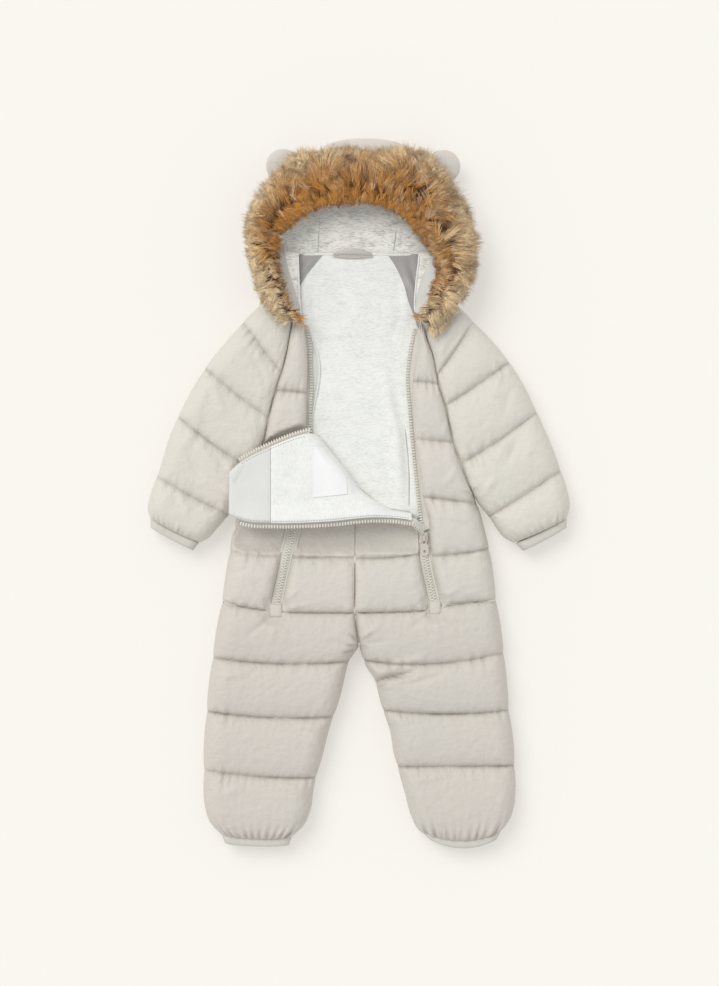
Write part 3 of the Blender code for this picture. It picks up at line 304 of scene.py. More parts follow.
PALE, DARK = linear(237, 238, 234), linear(199, 203, 195)
FINISHES["jersey"] = jersey_finish("jersey_lining", PALE, DARK, strength=0.8)
FINISHES["jersey_folded"] = jersey_finish("jersey_folded", PALE, DARK, (3.8, 0.26, 1.0), 0.6)
FINISHES["jersey_hood"] = jersey_finish("jersey_hood", linear(244, 243, 236),
                                        linear(178, 178, 168), (0.8, 1.1, 1.0), 1.25)
print("jersey finish made")

# %% [markdown]
# Woven facings, zip tape, elastic bindings, the satin of the sleeve lining and of the hanging
# loop, and the label are plain cloths: one tone with a fine ribbed bump, each with its own
# colour and gloss.

# %% plain cloths


def ribbed_finish(name, colour, rough, rib=(1.0, 1.0, 1.0), rib_mm=1.2, depth_mm=0.25,
                  **sockets):
    cloth = Finish(name, roughness=rough, **sockets)
    ribs = cloth.noise(cloth.place(rib), rib_mm, 1.0)
    shade = cloth.noise(cloth.place(), 30.0, 2.0)
    cloth.set(Base_Color=cloth.blend(shade, (*colour, 1.0), (*(0.93 * c for c in colour), 1.0)),
              Roughness=rough - 0.05 + 0.1 * ribs)
    return cloth.bump(ribs, depth_mm, 0.6)


PLAIN_CLOTHS = {     # name, colour, roughness, stretch of the ribs, their size and depth in mm
    "facing": ("facing_cloth", (222, 223, 218), 0.75, (1.0, 0.4, 1.0)),
    "sleeve_lining": ("sleeve_lining_satin", (163, 160, 158), 0.42, (0.3, 1.0, 1.0), 2.0),
    "tape": ("zip_tape_cloth", (219, 216, 207), 0.8, (1.0, 3.0, 1.0), 1.5),
    "binding": ("elastic_binding", (209, 206, 197), 0.7, (1.0, 1.0, 1.0), 1.6, 0.3),
    "satin": ("satin_loop", (196, 191, 184), 0.34, (0.25, 1.0, 1.0), 1.4),
    "label": ("label_satin", (244, 244, 243), 0.5, (1.0, 0.3, 1.0), 1.0, 0.12),
    "thread": ("stitch_thread", (150, 146, 140), 0.8),
    # this thread also draws two painted shadow lines: at the folded front's end and beside the
    # right zip
    "thread_hood": ("hood_seam_thread", (186, 186, 180), 0.8),
    "pale_thread": ("stitch_thread_pale", (222, 222, 218), 0.8)}
for key, (name, colour, *rest) in PLAIN_CLOTHS.items():
    FINISHES[key] = ribbed_finish(name, linear(*colour), *rest)
FINISHES["painted"] = ribbed_finish("painted_zinc", linear(206, 198, 186), 0.34, (1.0, 1.0, 1.0),
                                    0.7, 0.05, Coat_Weight=0.35, Metallic=0.15)
FINISHES["teeth"] = Finish("zip_teeth_moulded", roughness=0.32, Coat_Weight=0.2).set(
    Base_Color=solid(225, 221, 212))
print("plain cloths:", ", ".join(sorted(FINISHES)))

# %% [markdown]
# Every quilted piece is described by its edges and its quilt lines, as the cutter's pattern
# would. An edge is a curve x at y, a quilt line is its height at the left edge, at the right
# edge, and how far its middle hangs down. The curves are smooth through the listed points.

# %% curves


def smooth(points, at):
    """A smooth curve through (key, value) rows, read at many keys."""
    table = np.array(sorted(points), float)
    keys, values = table[:, 0], table[:, 1]
    at = np.clip(np.asarray(at, float), keys[0], keys[-1])
    chords = np.diff(values) / np.diff(keys)
    slopes = np.concatenate([chords[:1], 0.5 * (chords[1:] + chords[:-1]), chords[-1:]])
    i = np.clip(np.searchsorted(keys, at, side="right") - 1, 0, len(keys) - 2)
    step = keys[i + 1] - keys[i]
    t = (at - keys[i]) / step
    return ((2 * t**3 - 3 * t**2 + 1) * values[i] + (t**3 - 2 * t**2 + t) * slopes[i] * step
            + (3 * t**2 - 2 * t**3) * values[i + 1] + (t**3 - t**2) * slopes[i + 1] * step)


def edge_x(curve, y):
    """Where a curve that runs up and down is, at the heights y."""
    return smooth([(py, px) for px, py in curve], y)


def edge_y(curve, x):
    """Where a curve that runs across is, at the places x."""
    return smooth(curve, x)


def mix(a, b, t):
    return a + (b - a) * t


def smoothstep(value, low, high):
    """0 before low and 1 past high, with a soft step between; low may be the larger."""
    t = np.clip((value - low) / (high - low), 0, 1)
    return t * t * (3 - 2 * t)


def shifted(curve, dx):
    return tuple((x + dx, y) for x, y in curve)


def points_at(x, y, z):
    """Points from their coordinates, each a grid, a row, a column or one number."""
    return np.stack(np.broadcast_arrays(x, y, z), axis=-1).astype(float)


SLEEVE_FOLD = {
    "left": ((-106, 212), (-127, 191), (-150, 165), (-171, 138), (-191, 104), (-208, 68),
             (-219, 33), (-229, 5), (-234, -16), (-231, -29), (-232, -39)),
    "right": ((104, 212), (125, 191), (150, 165), (170, 139), (190, 103), (206, 68), (220, 33),
              (229, 5), (232, -14), (229, -29), (230, -39))}
RAGLAN = {
    "left": ((-73, 198), (-75, 184), (-85, 135), (-91, 119), (-97, 96), (-102, 73), (-106, 54),
             (-114, 27), (-121, 10), (-124, 4)),
    "right": ((73, 190), (73, 174), (81, 151), (85, 130), (95, 92), (103, 58), (114, 25),
              (120.3, 10), (123, 4))}
UNDERARM = {
    "left": ((-124, 4), (-137, -14), (-147, -26), (-159, -40), (-169, -50), (-178, -54.5),
             (-184, -62)),
    "right": ((123, 4), (134, -14), (145, -27.5), (153, -40), (161, -49), (172, -54.5),
              (182, -62))}
BACK_RAGLAN = {
    "left": ((-40, 264), (-64, 232), (-79, 180), (-91, 130), (-100, 90), (-106, 54), (-114, 27),
             (-121, 10), (-124, 4)),
    "right": ((31, 264), (39, 252), (48, 233), (54, 212), (62, 190), (78, 145), (92, 100),
              (103, 58), (114, 25), (120.3, 10), (123, 4))}
SIDE = {
    "left": ((-124, 4), (-132, -18), (-138, -41), (-142, -60), (-147, -95), (-151, -119),
             (-155.5, -144), (-161.5, -183), (-168, -243), (-171, -304), (-169, -345),
             (-163, -363), (-150, -379), (-149, -386)),
    "right": ((123, 4), (131, -18), (137, -41), (142, -60), (147, -95), (150, -117), (158, -172),
              (163, -227), (170, -293), (170, -337), (165, -358), (153, -378), (152, -386))}
INNER = {
    "left": ((-5, 270), (-5, 100), (-5, -100), (-5, -131), (-3.2, -150), (-1.8, -166), (-9, -179),
             (-14, -190), (-22, -221), (-28, -242), (-35, -261), (-42, -288), (-49, -315),
             (-53, -333), (-55, -347), (-63, -366), (-76, -380), (-77, -387)),
    "right": ((-5, 270), (-5, 100), (-5, -100), (-5, -131), (-2.8, -150), (0.6, -166), (8, -190),
              (18, -204), (22, -219), (26, -237), (35, -261), (39, -286), (44, -306), (51, -328),
              (58, -354), (68, -374), (78, -382), (80, -388))}
FRONT_EDGE = {
    "left": ((-61, 184), (-58, 160), (-57, 141), (-58, 109), (-59, 74), (-61, 62), (-72, -3),
             (-80, -42), (-86.5, -69), (-98, -121), (-101, -135)),
    "right": ((67, 191), (65.5, 183), (65, 162), (60, 135), (58, 119), (59, 90), (61, 59),
              (66, 26), (71, -7), (76, -29), (77.5, -50), (79, -71), (89, -119), (92, -134))}
ZIP_LINE = {
    "left": ((-54.3, 62), (-65.5, -3), (-73.5, -42), (-80, -69), (-91.5, -121)),
    "right": ((70.3, -40), (71, -50), (72.5, -71), (82.5, -119))}
HIP = {
    "left": ((-155, -118.5), (-125, -124.8), (-100, -128.4), (-84, -130), (-3, -131)),
    "right": ((-7, -131), (42, -130), (73, -128), (90, -125), (108, -121), (155, -117))}
print("the suit's outline has", 2 * len(SLEEVE_FOLD["left"] + UNDERARM["left"] + SIDE["left"]),
      "points")

# %% [markdown]
# The quilt lines are straight on the flat pattern, but the padding pulls them a little crooked,
# so each is written with its two ends and its sag. A sleeve is folded along its outer edge, and
# its lines run on round the fold to the back. The folded front has two edges instead, one along
# the fold and one along its zip.

# %% quilt lines


def quilt_lines(*rows, keys=("left", "right", "sag")):
    return [dict(zip(keys, row)) for row in rows]


BODY_LINES = {
    "left": quilt_lines((192, 184, -3), (114, 111, 0), (52, 56, 0), (-4, 0, 0), (-64, -68, 1),
                        (-119.5, -128.7, 2)),
    "right": quilt_lines((190, 177, -2), (124, 121, 0), (59.5, 57, 0), (-3, -11, 0),
                         (-68, -60, 2), (-125.5, -117.3, 2))}
CENTRE_LINES = {
    "left": quilt_lines((61, 12, 3), (-2, -12, 0), (-69, -71, 0), (-130, -131, 0)),
    "right": quilt_lines((12, -24, 8), (-71, -66, 2), (-131, -127.8, 0))}
LEG_LINES = {
    "left": quilt_lines((-119.6, -131, 5), (-180, -184, 5), (-239, -245, 4), (-304, -312, 3),
                        (-377, -379, 2)),
    "right": quilt_lines((-131, -117, 4), (-183, -175, 8), (-238, -238, 4), (-300, -299, 0),
                         (-372, -372, 10))}
BACK_LINES = {
    "left": quilt_lines((263.7, 263.7, 0), (190, 190, 0), (122, 122, 0), (54, 54, 0), (-4, -6, 0),
                        (-64, -70, 0)) + LEG_LINES["left"],
    "right": quilt_lines((263.7, 263.7, 0), (190, 190, 0), (122, 122, 0), (54, 54, 0),
                         (-6, -4, 0), (-70, -64, 0)) + LEG_LINES["right"]}
SLEEVE_KEYS = ("fold", "front", "back", "sag", "back_sag")
SLEEVE_LINES = {
    "left": quilt_lines((211, 196, 263, 0, -18), (189, 133, 170, 2, 0), (138, 83, 95, 2, 0),
                        (85, 24, 26, 3, 0), (19, -23, -23, 2, 0), (-28, -54, -54, 1, 0),
                        keys=SLEEVE_KEYS),
    "right": quilt_lines((211, 178, 263, 0, -18), (190, 130, 165, 2, 0), (145, 97, 105, 2, 0),
                         (90, 33, 34, 3, 0), (26, -25, -25, 2, 0), (-28, -54, -54, 1, 0),
                         keys=SLEEVE_KEYS)}
FLAP_TOP = ((-144, 24), (-130, 36), (-97, 53), (-63, 66), (-53, 67.5), (-45, 63), (-32, 47),
            (-20, 33), (-10, 20), (1, 5), (21, -9), (37, -17), (52, -19.5), (61, -21))
FLAP_BOTTOM = ((-144, -23), (-124, -31), (-96, -33), (-69, -33), (-30, -31), (11, -27),
               (37, -27.5), (52, -29.5), (61, -31))
print("quilt lines:", sum(len(rows) for t in (BODY_LINES, LEG_LINES, CENTRE_LINES, SLEEVE_LINES)
                          for rows in t.values()))

# %% [markdown]
# Folds that the photograph shows in the shell are soft ridges and troughs along short lines, so
# that each can be put where it is on the real suit. A sculpted or painted fold would do too, but
# a line in a table is easy to move.

# %% folds
# Each is (x0, y0, x1, y1, width, depth), a ridge if depth > 0 and else a trough.
SHELL_CREASES = (
    (15, -206, 62, -195, 2.6, -5.0), (14, -198, 74, -178, 4.5, 2.4),
    (30, -214, 92, -199, 3.0, -1.6), (24, -212, 60, -210, 2.5, 1.4),
    (2, -160, 24, -142, 2.0, 1.3), (-4, -158, -26, -146, 2.0, 1.2),
    (2, -166, 34, -160, 2.2, -1.2), (-6, -168, -34, -160, 2.2, -1.0),
    (-96, -134, -124, -156, 2.0, -1.6), (-88, -134, -70, -158, 2.0, -1.5),
    (-92, -136, -96, -164, 2.2, 1.2), (-98, -118, -118, -96, 2.4, -1.3),
    (-84, -118, -66, -104, 2.2, 1.2), (-84, -126, -52, -120, 2.0, 1.0),
    (88, -131, 112, -148, 2.0, -1.6), (78, -131, 56, -148, 1.9, -1.5),
    (84, -133, 88, -162, 2.2, 1.2), (90, -116, 112, -100, 2.2, 1.1),
    (76, -116, 62, -98, 2.2, -1.2), (92, -124, 128, -116, 2.0, -1.0),
    (155, 137, 147, 104, 4.0, 1.2), (168, 120, 158, 84, 4.0, -1.0), (166, 72, 150, 36, 4.5, 1.3),
    (178, 66, 160, 30, 4.0, -1.1), (150, 18, 132, -4, 3.0, 1.4), (186, 58, 184, 20, 4.0, 0.9),
    (140, 60, 126, 30, 3.5, -1.0), (110, 180, 92, 150, 3.0, -1.6), (118, 176, 104, 158, 4.0, 1.2),
    (-158, 120, -150, 84, 4.0, 1.2), (-170, 96, -164, 60, 4.0, -1.1),
    (-176, 60, -156, 24, 4.5, 1.4), (-190, 52, -172, 14, 4.0, -1.2),
    (-150, 44, -136, 12, 3.5, 1.1), (-200, 10, -186, -28, 4.0, 1.1),
    (-126, 168, -104, 146, 3.5, 1.1), (-118, 150, -100, 120, 3.5, -1.1),
    (-150, 8, -134, -8, 3.0, 1.3), (100, 86, 90, 60, 3.0, 1.0), (108, 30, 92, 8, 3.0, 1.1),
    (120, -30, 96, -24, 2.5, 1.0), (140, -66, 112, -60, 2.4, 1.2),
    (146, -74, 120, -72, 2.4, -1.1), (-140, -70, -112, -64, 2.4, 1.1),
    (-146, -88, -120, -82, 3.0, -1.0), (-60, -76, -40, -72, 2.2, 1.0),
    (40, -78, 58, -72, 2.2, 1.0), (-150, -200, -120, -196, 3.0, 1.1),
    (-40, -260, -70, -252, 3.0, 1.1), (60, -316, 92, -308, 3.0, 1.1),
    (150, -250, 126, -244, 3.0, 1.0), (-60, -330, -86, -318, 3.0, 1.1),
    (-150, -330, -128, -320, 3.0, 1.0))

# Painted shade where folds are so tight that they are dark inside, with how dark in place of the
# depth.
SHADED_FOLDS = (
    (14, -206, 50, -198, 1.5, 1.1), (3, -160, 14, -151, 1.2, 0.6),
    (-3, -161, -13, -152, 1.2, 0.7), (-6, -172, -20, -174, 1.5, 0.9),
    (-4, -166, -16, -165, 1.2, 0.6), (18, -212, 34, -207, 1.2, 0.5),
    (-101, -137, -116, -150, 0.9, 0.3), (-83, -137, -73, -150, 0.9, 0.3),
    (90, -134, 104, -143, 0.9, 0.3))


def creased(x, y, lines, unevenness=0.0):
    """Height added by soft ridges (depth > 0) and troughs: (x0, y0, x1, y1, wide, depth)."""
    total = np.zeros(np.broadcast(x, y).shape)
    for x0, y0, x1, y1, wide, depth in lines:
        dx, dy = x1 - x0, y1 - y0
        long = math.hypot(dx, dy)
        along = ((x - x0) * dx + (y - y0) * dy) / long**2
        away = ((y - y0) * dx - (x - x0) * dy) / long
        away = away + unevenness * wide * np.sin(along * 7 + x0)
        fade = np.clip(4 * along * (1 - along), 0, 1) ** 0.6
        total = total + depth * fade * np.exp(-(away / wide) ** 2)
    return total


print("creases of the shell:", len(SHELL_CREASES))

# %% [markdown]
# Each quilted piece is a tube of rings: over the top from edge to edge, and back underneath.
# The rings are 2.6 mm apart, because the small puckers along a sewn line are about 10 mm long
# and need a few faces each. The first shape has the rows of padding, swelling slowly below one
# sewn line and dropping steeply to the next. The cloth simulation fills it, and the puckers and
# folds, which are finer than a simulation of this size can find, are added after that.

# %% rows of padding
FINE = 2.6            # distance between rings, mm
ROW_HIGH, SLEEVE_ROW_HIGH = 60.0, 52.0     # usual height of a row
Z_BACK, Z_FRONT = 16.2, 16.6               # top of the back panels, underside of the front ones
CROWN, SEWN = 21.5, 11.5                   # height over Z_FRONT of a row's crown and sewn line
SEAM_HIGH, CENTRE_HIGH, OUTLINE_HIGH = 10.5, 15.0, 0.6    # and of the pieces' edges
EDGE_SOFT, SEAM_SOFT = 20.0, 12.0          # how far in from an edge the padding is rounded
SCALLOP = 2.0         # how far the rows bulge beyond the sewn lines at the outline
SIDE_INSET = -0.9     # how far the side seam lies inside the outline
SEAM_GAP = 0.15       # half the gap between two pieces
HEM_HIGH = 8.8        # height of the sewn line at an elastic hem


def shares(count, to_edges=0.35):
    even = np.linspace(0, 1, count)
    return mix(even, 0.5 - 0.5 * np.cos(np.pi * even), to_edges)


def rows_of(lines, spacing=FINE):
    """For each ring: its row, its share t of the way down it, and its blended line."""
    row, t = [], []
    for k, (a, b) in enumerate(zip(lines, lines[1:])):
        keys = [key for key in ("left", "right", "fold", "front") if key in a]
        high = np.mean([abs(a[key] - b[key]) for key in keys])
        steps = max(4, int(round(high / spacing)))
        row += [k] * steps
        t += [i / steps for i in range(steps)]
    row.append(len(lines) - 2)
    t.append(1.0)
    row, t = np.array(row), np.array(t)
    line = {key: np.array([mix(lines[k][key], lines[k + 1][key], s) for k, s in zip(row, t)])
            for key in lines[0]}
    return row, t, line


def rise_of(t):
    """How far the padding has risen, t of the way down a row."""
    lean = t ** 1.12
    return (1 - np.abs(1 - 2 * lean) ** 2.5) ** 0.58


def wall(distance, edge, crown, soft):
    f = np.clip(distance / soft, 0, 1)
    return edge + (crown - edge) * np.sqrt(np.clip(1 - (1 - f) ** 2, 0, 1))


def sagging(line, s, low="left", high="right", sag="sag"):
    """Heights along every ring, whose middle hangs down."""
    s = s[None, :]
    return mix(line[low][:, None], line[high][:, None], s) - line[sag][:, None] * 4 * s * (1 - s)


def tube_edges(edges, line, outer, rise):
    """Where every ring begins and ends, and where that is the suit's outline."""
    ends = {}
    for side, sign in (("left", 1), ("right", -1)):
        out = np.array([outer(side, y) for y in line[side]])
        x = edge_x(edges[side], line[side]) + sign * SEAM_GAP
        ends[side] = x + sign * np.where(out, SIDE_INSET - SCALLOP * (rise - 0.6), 0.0), out
    return ends


print("a row rises in steps of", FINE, "mm:", np.round(CROWN * rise_of(np.linspace(0, 1, 9)), 1))

# %% puckers and gathers
PUCKER = 2.3          # height of the puckers along a sewn line
FOLD_STRENGTH = 1.6   # of the folds in SHELL_CREASES
HEM_DEPTH = 4.6       # how deep the gathers at an elastic hem are
HEM_FOLDS = 11        # how many there are
# LINE_SHADE: how strong the painted shade on a sewn line is, for each kind of piece
LINE_SHADE = {"side": 0.6, "centre": 0.62, "leg": 0.78, "sleeve": 0.5}   # a sewn line's dark


def sewn_fullness(t, high):
    """Cloth is fullest within a few mm of a sewn line, where it is eased in."""
    away = np.minimum(t, 1 - t) * high
    return 0.38 * np.exp(-(away / 7.0) ** 2)


def gathers(s, count, seed):
    """Uneven gathers along an elastic edge: about -1 in each crease and 1 between them."""
    local = np.random.default_rng(seed)
    steps = local.uniform(0.6, 1.5, count)
    knots = np.concatenate([[0], np.cumsum(steps)]) / steps.sum()
    phase = np.interp(s, knots, np.arange(count + 1))
    deep = np.interp(s, knots, local.uniform(0.2, 1.15, count + 1))
    return deep * (1 - 2 * np.abs(np.cos(np.pi * phase)) ** 3)


def puckers(row, t, s, wide, seed, high=ROW_HIGH):
    """Short uneven ridges across every sewn line, each line with its own spacing."""
    total = np.zeros((len(t), len(s)))
    local = np.random.default_rng(seed)
    ends = np.exp(-s * np.median(wide) / 16) + np.exp(-(1 - s) * np.median(wide) / 16)
    for line in range(row.max() + 2):
        folds = max(4, int(np.median(wide) / local.uniform(9, 15)))
        ridges = gathers(s, folds, seed * 31 + line) * (0.1 + 0.8 * gathers(s, 3, seed + line) ** 2
                                                        + 0.8 * ends)
        away = np.where(row == line, t, np.where(row == line - 1, 1 - t, 9.0)) * high
        below = row == line
        reach = np.where(below, local.uniform(6, 9), local.uniform(4, 6))
        total += np.exp(-((away - 1.5) / reach) ** 2)[:, None] * ridges[None, :]
    return PUCKER * total


def sewn_line_shade_and_nearness(row, t, columns, shows, high=ROW_HIGH):
    """Painted shade in a quilt line's groove, fading within about 1 mm, and how near a point is
    to the line, fading within about 1 cm.
    """
    away = np.minimum(t, 1 - t) * high
    inner = np.where(t < 0.5, row > 0, row < row.max())
    near = np.stack([shows * np.exp(-(away / 1.3) ** 2) * inner, np.exp(-(away / 9.0) ** 2)],
                    axis=1)
    return near[:, None, :].repeat(columns, 1)


def at_an_elastic(row, t, s, seed):
    """Gathers in the last 2 cm before an elastic, deepest a few mm before it."""
    towards = np.where(row == row.max(), t, 0.0)[:, None]
    return towards ** 8 * (1 - 0.8 * towards ** 40) * gathers(s, HEM_FOLDS, seed)[None, :]


print("puckers along 20 cm of a line, mm:", np.round(
    PUCKER * gathers(np.linspace(0, 1, 9), 15, 1), 1))

# %% [markdown]
# A front panel starts at its own edges, has rounded sides at the suit's outline and steep ones
# at its seams, and is pressed down where the folded front or a zip end lies on it. Its hidden
# underside needs few points, and its two ends are closed with strips of small faces.

# %% front panels
UNDERSIDE = 9         # points across the hidden underside of a front panel
QUILTED = {}          # name: points (rings, columns, 3), what is sewn, extra fullness
ZIP_ENDS = ((-92, -127, 8.5), (83, -124, 7.5))    # where they are, and half their width
CROTCH_Y, UNDERARM_Y = -166, 2        # where the inner and the outer seams meet the outline


def crisp(top, low, drop=1.0):
    """Points just under an edge, which keep it crisp when the mesh is rounded."""
    below = top.copy()
    below[..., 2] = np.maximum(top[..., 2] - drop, 0.5 * (top[..., 2] + low))
    return below


def pinched(x, y, high):
    """The padding is low round the two zip ends."""
    for cx, cy, _ in ZIP_ENDS:
        room = np.maximum(0.0, np.hypot(x - cx, y - cy) - 11.0)
        high = np.minimum(high, 11.0 + 1.1 * room)
    return high


def pressed(x, y, high):
    """The folded front lies on these panels and presses them down, up to its lower edge."""
    under = smoothstep(y - edge_y(FLAP_BOTTOM, x), -54.0, -20.0)
    beyond = smoothstep(edge_y(FLAP_TOP, x) - y, -16.0, -2.0) * smoothstep(x, 74, 62)
    return np.minimum(high, mix(30.0, 4.4, under * beyond))


def held_by_zip_end(x, y):
    held = np.zeros(x.shape, bool)
    for cx, cy, half in ZIP_ENDS:
        held |= (abs(x - cx) < half) & (abs(y - cy) < half + 1)
    return held


def strip_cap(columns, under):
    """Column numbers of the small faces that close an end, from its upper to its lower edge."""
    faces = []
    for k, (high, low) in enumerate(zip(under[:-1], under[1:])):
        first, last = k == 0, k == len(under) - 2
        faces.append(list(range(low, high + 1)) + ([columns] if first else [])
                     + [columns + 1 + k, columns + 2 + k]
                     + ([columns + 1 + len(under)] if last else []))
    return faces


def ended(piece):
    """One more ring just under each end, so that the ends stay crisp too."""
    first, final = piece["points"][:1], piece["points"][-1:]
    low = min(float(first[..., 2].min()), float(final[..., 2].min()))
    piece["points"] = np.concatenate([crisp(first, low), piece["points"], crisp(final, low)])
    piece["sewn"] = np.pad(piece["sewn"], ((1, 1), (0, 0)), constant_values=True)
    for key in ("fuller", "detail", "line"):
        if key in piece:
            piece[key] = np.pad(piece[key], [(1, 1)] + [(0, 0)] * (piece[key].ndim - 1))
    return piece


def front_tube(name, edges, lines, outer, head=None, foot=None, hem=False, flat_head=False,
               seam_high=None):
    """edges are curves x at y; outer(side, y) is true where one is the suit's outline."""
    row, t, line = rows_of(lines)
    rise = rise_of(t)
    last = len(lines) - 2
    at_hem = (row == last) & (t > 0.5) & hem
    crown = mix(np.where(at_hem, HEM_HIGH, SEWN), CROWN, rise)
    (xl, out_l), (xr, out_r) = tube_edges(edges, line, outer, rise).values()
    high_l, high_r = (np.where(out, OUTLINE_HIGH, np.minimum((seam_high or {}).get(
        side, SEAM_HIGH), crown)) for side, out in (("left", out_l), ("right", out_r)))
    wide = np.hypot(xr - xl, line["right"] - line["left"])
    columns = max(12, int(np.percentile(wide, 80) / FINE))
    s = shares(columns)
    x = mix(xl[:, None], xr[:, None], s[None, :])
    y = sagging(line, s)
    if head:
        off = edge_y(head, x[0]) - 0.3 - y[0]
        y = y + np.where((row == 0)[:, None], off[None, :] * (1 - t[:, None]) ** 2, 0.0)
    if foot:
        off = edge_y(foot, x[-1]) + 0.45 - y[-1]
        y = y + np.where((row == last)[:, None], off[None, :] * t[:, None] ** 2, 0.0)
    soft_l, soft_r = (np.where(out, EDGE_SOFT, SEAM_SOFT)[:, None] for out in (out_l, out_r))
    high = np.minimum(wall(s[None, :] * wide[:, None], high_l[:, None], crown[:, None], soft_l),
                      wall((1 - s[None, :]) * wide[:, None], high_r[:, None], crown[:, None],
                           soft_r))
    high = pressed(x, y, pinched(x, y, np.maximum(high, 0.6)))
    if flat_head:
        high = np.minimum(high, 5.0 + 1.1 * np.where(row == 0, t * 70, 99.0)[:, None])
    detail = puckers(row, t, s, wide, len(name) + columns) + FOLD_STRENGTH * creased(
        x, y, SHELL_CREASES, 0.2)
    shade_and_nearness = sewn_line_shade_and_nearness(row, t, columns, LINE_SHADE[name.split("_")[1]])
    # painted shade in the tight folds, added to that of the sewn lines
    shade_and_nearness[..., 0] += np.clip(creased(x, y, SHADED_FOLDS, 0.3), 0, 1)
    if hem:
        folds = at_an_elastic(row, t, s, len(name))
        detail = detail + HEM_DEPTH * folds
        # painted shade in the creases of the gathers by the elastic
        shade_and_nearness[..., 0] += np.clip(-0.8 * folds, 0, 1)
    detail = detail * np.clip((high - 3) / 7, 0, 1)
    top = points_at(x, y, Z_FRONT + high)
    under = np.linspace(columns - 1, 0, UNDERSIDE).round().astype(int)
    bottom = top[:, under].copy()
    bottom[:, :, 2] = Z_FRONT
    points = np.concatenate([top, crisp(top[:, -1:], Z_FRONT), bottom,
                             crisp(top[:, :1], Z_FRONT)], axis=1)
    sewn = np.zeros(points.shape[:2], bool)
    sewn[:, columns:] = sewn[:, :1] = sewn[:, columns - 1:columns] = True
    sewn[t == 0] = sewn[t == 1] = True
    sewn[:4] |= flat_head
    sewn[:, :columns] |= held_by_zip_end(x, y)
    fuller = np.zeros(points.shape[:2])
    fuller[:, :columns] = sewn_fullness(t, ROW_HIGH)[:, None]
    fuller[:, :columns] += hem * np.where(row == last, t, 0.0)[:, None] ** 6
    QUILTED[name] = ended(dict(points=points, sewn=sewn, fuller=fuller, top=columns,
                               detail=detail, line=shade_and_nearness, cap=strip_cap(columns, under)))


for side, other in (("left", "right"), ("right", "left")):
    front_tube(f"shell_side_front_{side}",
               {side: RAGLAN[side] + SIDE[side][1:], other: FRONT_EDGE[side]}, BODY_LINES[side],
               lambda at, y: at == side and y < UNDERARM_Y, foot=HIP[side])
    by_zip = shifted(ZIP_LINE[side], 6.0 if side == "left" else -6.0)
    front_tube(f"shell_centre_front_{side}", {other: INNER[side], side: by_zip},
               CENTRE_LINES[side], lambda at, y: False, foot=HIP[side], flat_head=True,
               seam_high={other: CENTRE_HIGH})
    front_tube(f"shell_leg_{side}", {side: SIDE[side], other: INNER[side]}, LEG_LINES[side],
               lambda at, y: not (at == other and y > CROTCH_Y), head=HIP[side], hem=True)
print("fronts:", {name: piece["points"].shape[:2] for name, piece in QUILTED.items()})

# %% [markdown]
# The back panels lie flat on the surface, so their quilting shows only at the outline, as round
# lower edges and grooves. Each sleeve is one piece, folded flat along its outer edge: its front
# layer is quilted like the fronts, and its back layer lies on the surface.

# %% back panels and sleeves
BACK_GROOVE = 5.0     # how deep, and half as wide, a sewn line is pressed into the underside


def lifted(distance, reach, edge):
    """Underside of a back wall near a rounded outline."""
    f = np.clip(distance / reach, 0, 1)
    return np.minimum(Z_BACK * (1 - np.sqrt(1 - (1 - f) ** 2)), Z_BACK - edge)


def groove(t, high):
    """A quilt line pressed into the flat underside."""
    away = np.minimum(t, 1 - t) * high
    return BACK_GROOVE * np.exp(-(away / 5.0) ** 2)


def back_tube(name, edges, lines, outer):
    row, t, line = rows_of(lines, 2 * FINE)
    (xl, out_l), (xr, out_r) = tube_edges(edges, line, outer, rise_of(t)).values()
    wide = abs(xr - xl)
    over, under = np.linspace(0, 1, 5), shares(26, 0.6)[::-1]
    s = np.concatenate([over, under])
    x = mix(xl[:, None], xr[:, None], s[None, :])
    low_l = np.where(out_l[:, None], lifted(s[None, :] * wide[:, None], 11.0, 1.0), 0.0)
    low_r = np.where(out_r[:, None], lifted((1 - s[None, :]) * wide[:, None], 11.0, 1.0), 0.0)
    z = np.maximum(np.maximum(low_l, low_r), groove(t, 62.0)[:, None])
    z[:, :len(over)] = Z_BACK
    points = points_at(x, sagging(line, s), np.minimum(z, Z_BACK))
    sewn = np.ones(points.shape[:2], bool)
    sewn[:, len(over) + 1:-1] = False
    sewn[t == 0] = sewn[t == 1] = True
    QUILTED[name] = ended(dict(points=points, sewn=sewn, fuller=np.zeros(points.shape[:2]),
                               top=len(over)))


